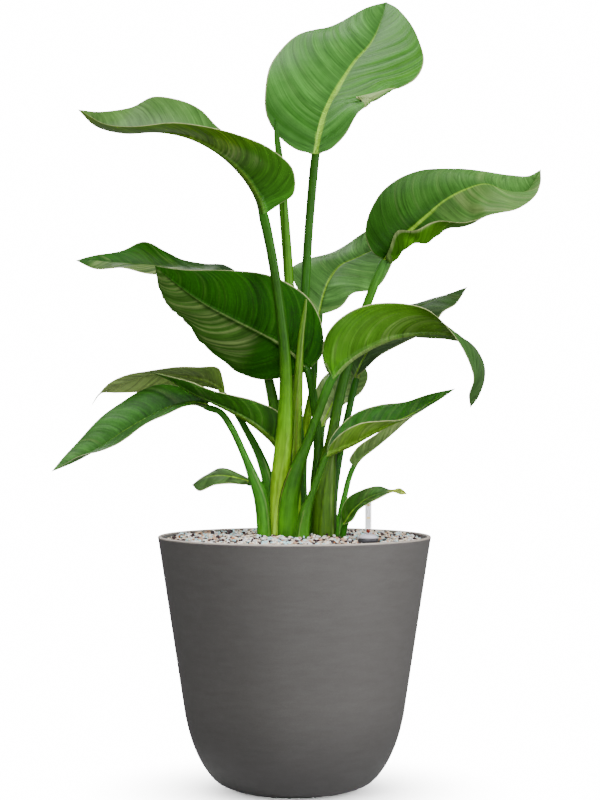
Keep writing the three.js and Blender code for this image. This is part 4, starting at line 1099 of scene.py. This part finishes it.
def clear_plastic():
    """Clear plastic seen as a pale haze: densest at its outline and in its domed foot, thin by the marker."""
    material, tree, shader, where = new_material("gauge_clear_plastic")
    shader.inputs["Roughness"].default_value = 0.3
    bump(tree, shader, noise(tree, where, 700.0, 3.0, 0.5), 0.15, 0.0002)
    height = add_node(tree, "ShaderNodeSeparateXYZ", Vector=where).outputs["Z"]

    def over(low, high, end):
        return mapped(tree, height, (low * MM, high * MM), (0, end))

    shoulder = SHAFT_TOP + DOME_HEIGHT
    tint = add_node(tree, "ShaderNodeMix", data_type="RGBA", Factor=over(shoulder - 1, shoulder + 2, 1),
                    A=(*linear((222, 218, 230)), 1), B=(*linear((172, 169, 172)), 1))
    link(tree, tint.outputs["Result"], shader.inputs["Base Color"])
    outline = add_node(tree, "ShaderNodeLayerWeight", Blend=0.35)
    haze = mapped(tree, outline.outputs["Facing"], (0, 1), (0.45, 0.6))
    thinned = add_node(tree, "ShaderNodeMath", operation="MULTIPLY")
    link(tree, haze, thinned.inputs[0])
    link(tree, over(MARKER_TOP + 0.2, MARKER_TOP + 1.2, 1), thinned.inputs[1])
    both = add_node(tree, "ShaderNodeMath", operation="ADD", use_clamp=True)
    link(tree, thinned.outputs["Value"], both.inputs[0])
    link(tree, over(shoulder, SHAFT_TOP + 0.6 * DOME_HEIGHT, 0.8), both.inputs[1])
    link(tree, both.outputs["Value"], shader.inputs["Alpha"])
    return material


def make_gauge():
    bore = SHAFT_RADIUS - SHAFT_WALL
    inside = SHAFT_BOTTOM + SHAFT_WALL
    profile = [(0, SHAFT_BOTTOM), (SHAFT_RADIUS, SHAFT_BOTTOM), (SHAFT_RADIUS, SHAFT_TOP - RING_HEIGHT - 1),
               (RING_RADIUS, SHAFT_TOP - RING_HEIGHT), (RING_RADIUS, SHAFT_TOP - 0.4),
               (RING_RADIUS - 0.4, SHAFT_TOP), (bore, SHAFT_TOP), (bore, inside), (0, inside)]
    shaft = turned("gauge_shaft_fine", profile, GAUGE_SIDES, GAUGE)
    shaft.data.materials.append(plastic("gauge_dark_plastic", (72, 72, 76), 0.5))
    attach(shaft, "planter")
    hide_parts("gauge_shaft")

    bore = SIGHT_RADIUS - SIGHT_WALL
    bottom = SHAFT_TOP + GAP
    shoulder = bottom + DOME_HEIGHT
    dome = [(DOME_RADIUS * math.cos(a), bottom + 0.75 * DOME_HEIGHT * math.sin(a))
            for a in np.linspace(0.05, 1.15, 9)]
    profile = [(bore, bottom), (DOME_RADIUS - 0.3, bottom), *dome, (SIGHT_RADIUS + 0.6, shoulder - 1),
               (SIGHT_RADIUS, shoulder + 1), (SIGHT_RADIUS, SIGHT_TOP - 2),
               (SIGHT_RADIUS - 0.5, SIGHT_TOP - 0.7), (0.6 * SIGHT_RADIUS, SIGHT_TOP), (0, SIGHT_TOP),
               (0, SIGHT_TOP - 2), (bore - 0.6, SIGHT_TOP - 2.3), (bore, SIGHT_TOP - 3), (bore, bottom)]
    sight = turned("gauge_sight_tube_fine", profile, GAUGE_SIDES, GAUGE)
    sight.data.materials.append(clear_plastic())
    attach(sight, "planter")
    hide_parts("gauge_sight_tube")

    bottom = inside + FLOAT_LIFT
    top = bottom + FLOAT_LENGTH
    profile = [(0, bottom), (FLOAT_RADIUS - 0.8, bottom), (FLOAT_RADIUS, bottom + 0.8),
               (FLOAT_RADIUS, top - 0.8), (FLOAT_RADIUS - 0.8, top), (ROD_RADIUS, top + 2),
               (ROD_RADIUS, MARKER_BOTTOM), (MARKER_RADIUS, MARKER_BOTTOM + 0.2),
               (MARKER_RADIUS, MARKER_TOP - 0.4), (MARKER_RADIUS - 0.5, MARKER_TOP), (0, MARKER_TOP)]
    floating = turned("gauge_float_fine", profile, GAUGE_SIDES, GAUGE)
    floating.data.materials.append(plastic("float_red_brown", (138, 44, 22), 0.4))
    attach(floating, "float")
    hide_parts("gauge_float")


def make_ticks():
    """The raised marks on the front of the sight tube."""
    inner, outer = TICK_RADII
    arc = np.linspace(-0.5, 0.5, TICK_POINTS) - math.pi / 2
    n = TICK_POINTS
    grid = np.arange(4 * n).reshape(4, n)
    sides = grid_triangles(np.vstack([grid, grid[:1]]))[:, ::-1].tolist()
    ends = [(0, n, 2 * n, 3 * n), (n - 1, 4 * n - 1, 3 * n - 1, 2 * n - 1)]
    for number, height in enumerate(TICKS):
        low, high = height - TICK_HALF_HEIGHT, height + TICK_HALF_HEIGHT
        points = [(GAUGE[0] + r * math.cos(a), GAUGE[1] + r * math.sin(a), z)
                  for r, z in ((inner, low), (outer, low), (outer, high), (inner, high)) for a in arc]
        tick = new_piece(f"gauge_tick_{number + 1}", points, sides + ends, False)
        tick.data.materials.append(plastic(f"tick_yellow_{number + 1}", (214, 172, 52), 0.6))
        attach(tick, "planter")


def dress_soil():
    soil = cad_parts["soil"]
    soil.data.materials.clear()
    soil.data.materials.append(speckled("potting_soil", (180.0, 6.0, 0.7), (0.3, 0.7),
                                        ((0.012, 0.008, 0.005), (0.06, 0.038, 0.024)), 0.95, (0.8, 0.002)))


def make_floor():
    """A pale floor that catches the pot's shadow and fades out round it."""
    bpy.ops.mesh.primitive_circle_add(vertices=96, radius=FLOOR_RADIUS, fill_type="NGON", location=(0, 0, 0))
    floor = bpy.context.object
    floor.name = "floor"
    pale, tree, shader, where = new_material("pale_floor")
    shader.inputs["Base Color"].default_value = (0.86, 0.86, 0.86, 1)
    shader.inputs["Roughness"].default_value = 0.9
    distance = add_node(tree, "ShaderNodeVectorMath", operation="LENGTH", Vector=where)
    fade = mapped(tree, distance.outputs["Value"], FLOOR_FADE, (1, 0), "SMOOTHSTEP")
    link(tree, fade, shader.inputs["Alpha"])
    floor.data.materials.append(pale)


def make_studio():
    """Even white light, a brighter white backdrop for the camera alone, the lamps and the camera."""
    scene = bpy.context.scene
    world = bpy.data.worlds.new("studio")
    world.use_nodes = True
    tree = world.node_tree
    around = tree.nodes["Background"]
    around.inputs["Strength"].default_value = AMBIENT
    backdrop = add_node(tree, "ShaderNodeBackground", Strength=BACKDROP)
    for background in (around, backdrop):
        background.inputs["Color"].default_value = (1, 1, 1, 1)
    seen = add_node(tree, "ShaderNodeLightPath")
    choice = add_node(tree, "ShaderNodeMixShader")
    link(tree, seen.outputs["Is Camera Ray"], choice.inputs[0])
    link(tree, around.outputs[0], choice.inputs[1])
    link(tree, backdrop.outputs[0], choice.inputs[2])
    link(tree, choice.outputs[0], tree.nodes["World Output"].inputs["Surface"])
    scene.world = world

    for name, (spot, size, power, spread, aim) in LAMPS.items():
        lamp = bpy.data.lights.new(name, "AREA")
        lamp.size = size
        lamp.energy = power
        lamp.spread = math.radians(spread)
        holder = bpy.data.objects.new(name, lamp)
        holder.location = spot
        holder.rotation_euler = (Vector(aim) - Vector(spot)).to_track_quat("-Z", "Y").to_euler()
        scene.collection.objects.link(holder)

    lens = bpy.data.cameras.new("camera")
    lens.sensor_width = SENSOR
    lens.lens = SENSOR * -EYE[1] / VIEW_HEIGHT
    camera = bpy.data.objects.new("camera", lens)
    camera.location = EYE * MM
    camera.rotation_euler = (math.pi / 2, 0, 0)
    scene.collection.objects.link(camera)
    scene.camera = camera


make_floor()
make_studio()
make_leaves()
make_pot()
make_gravel()
make_gauge()
make_ticks()
dress_soil()
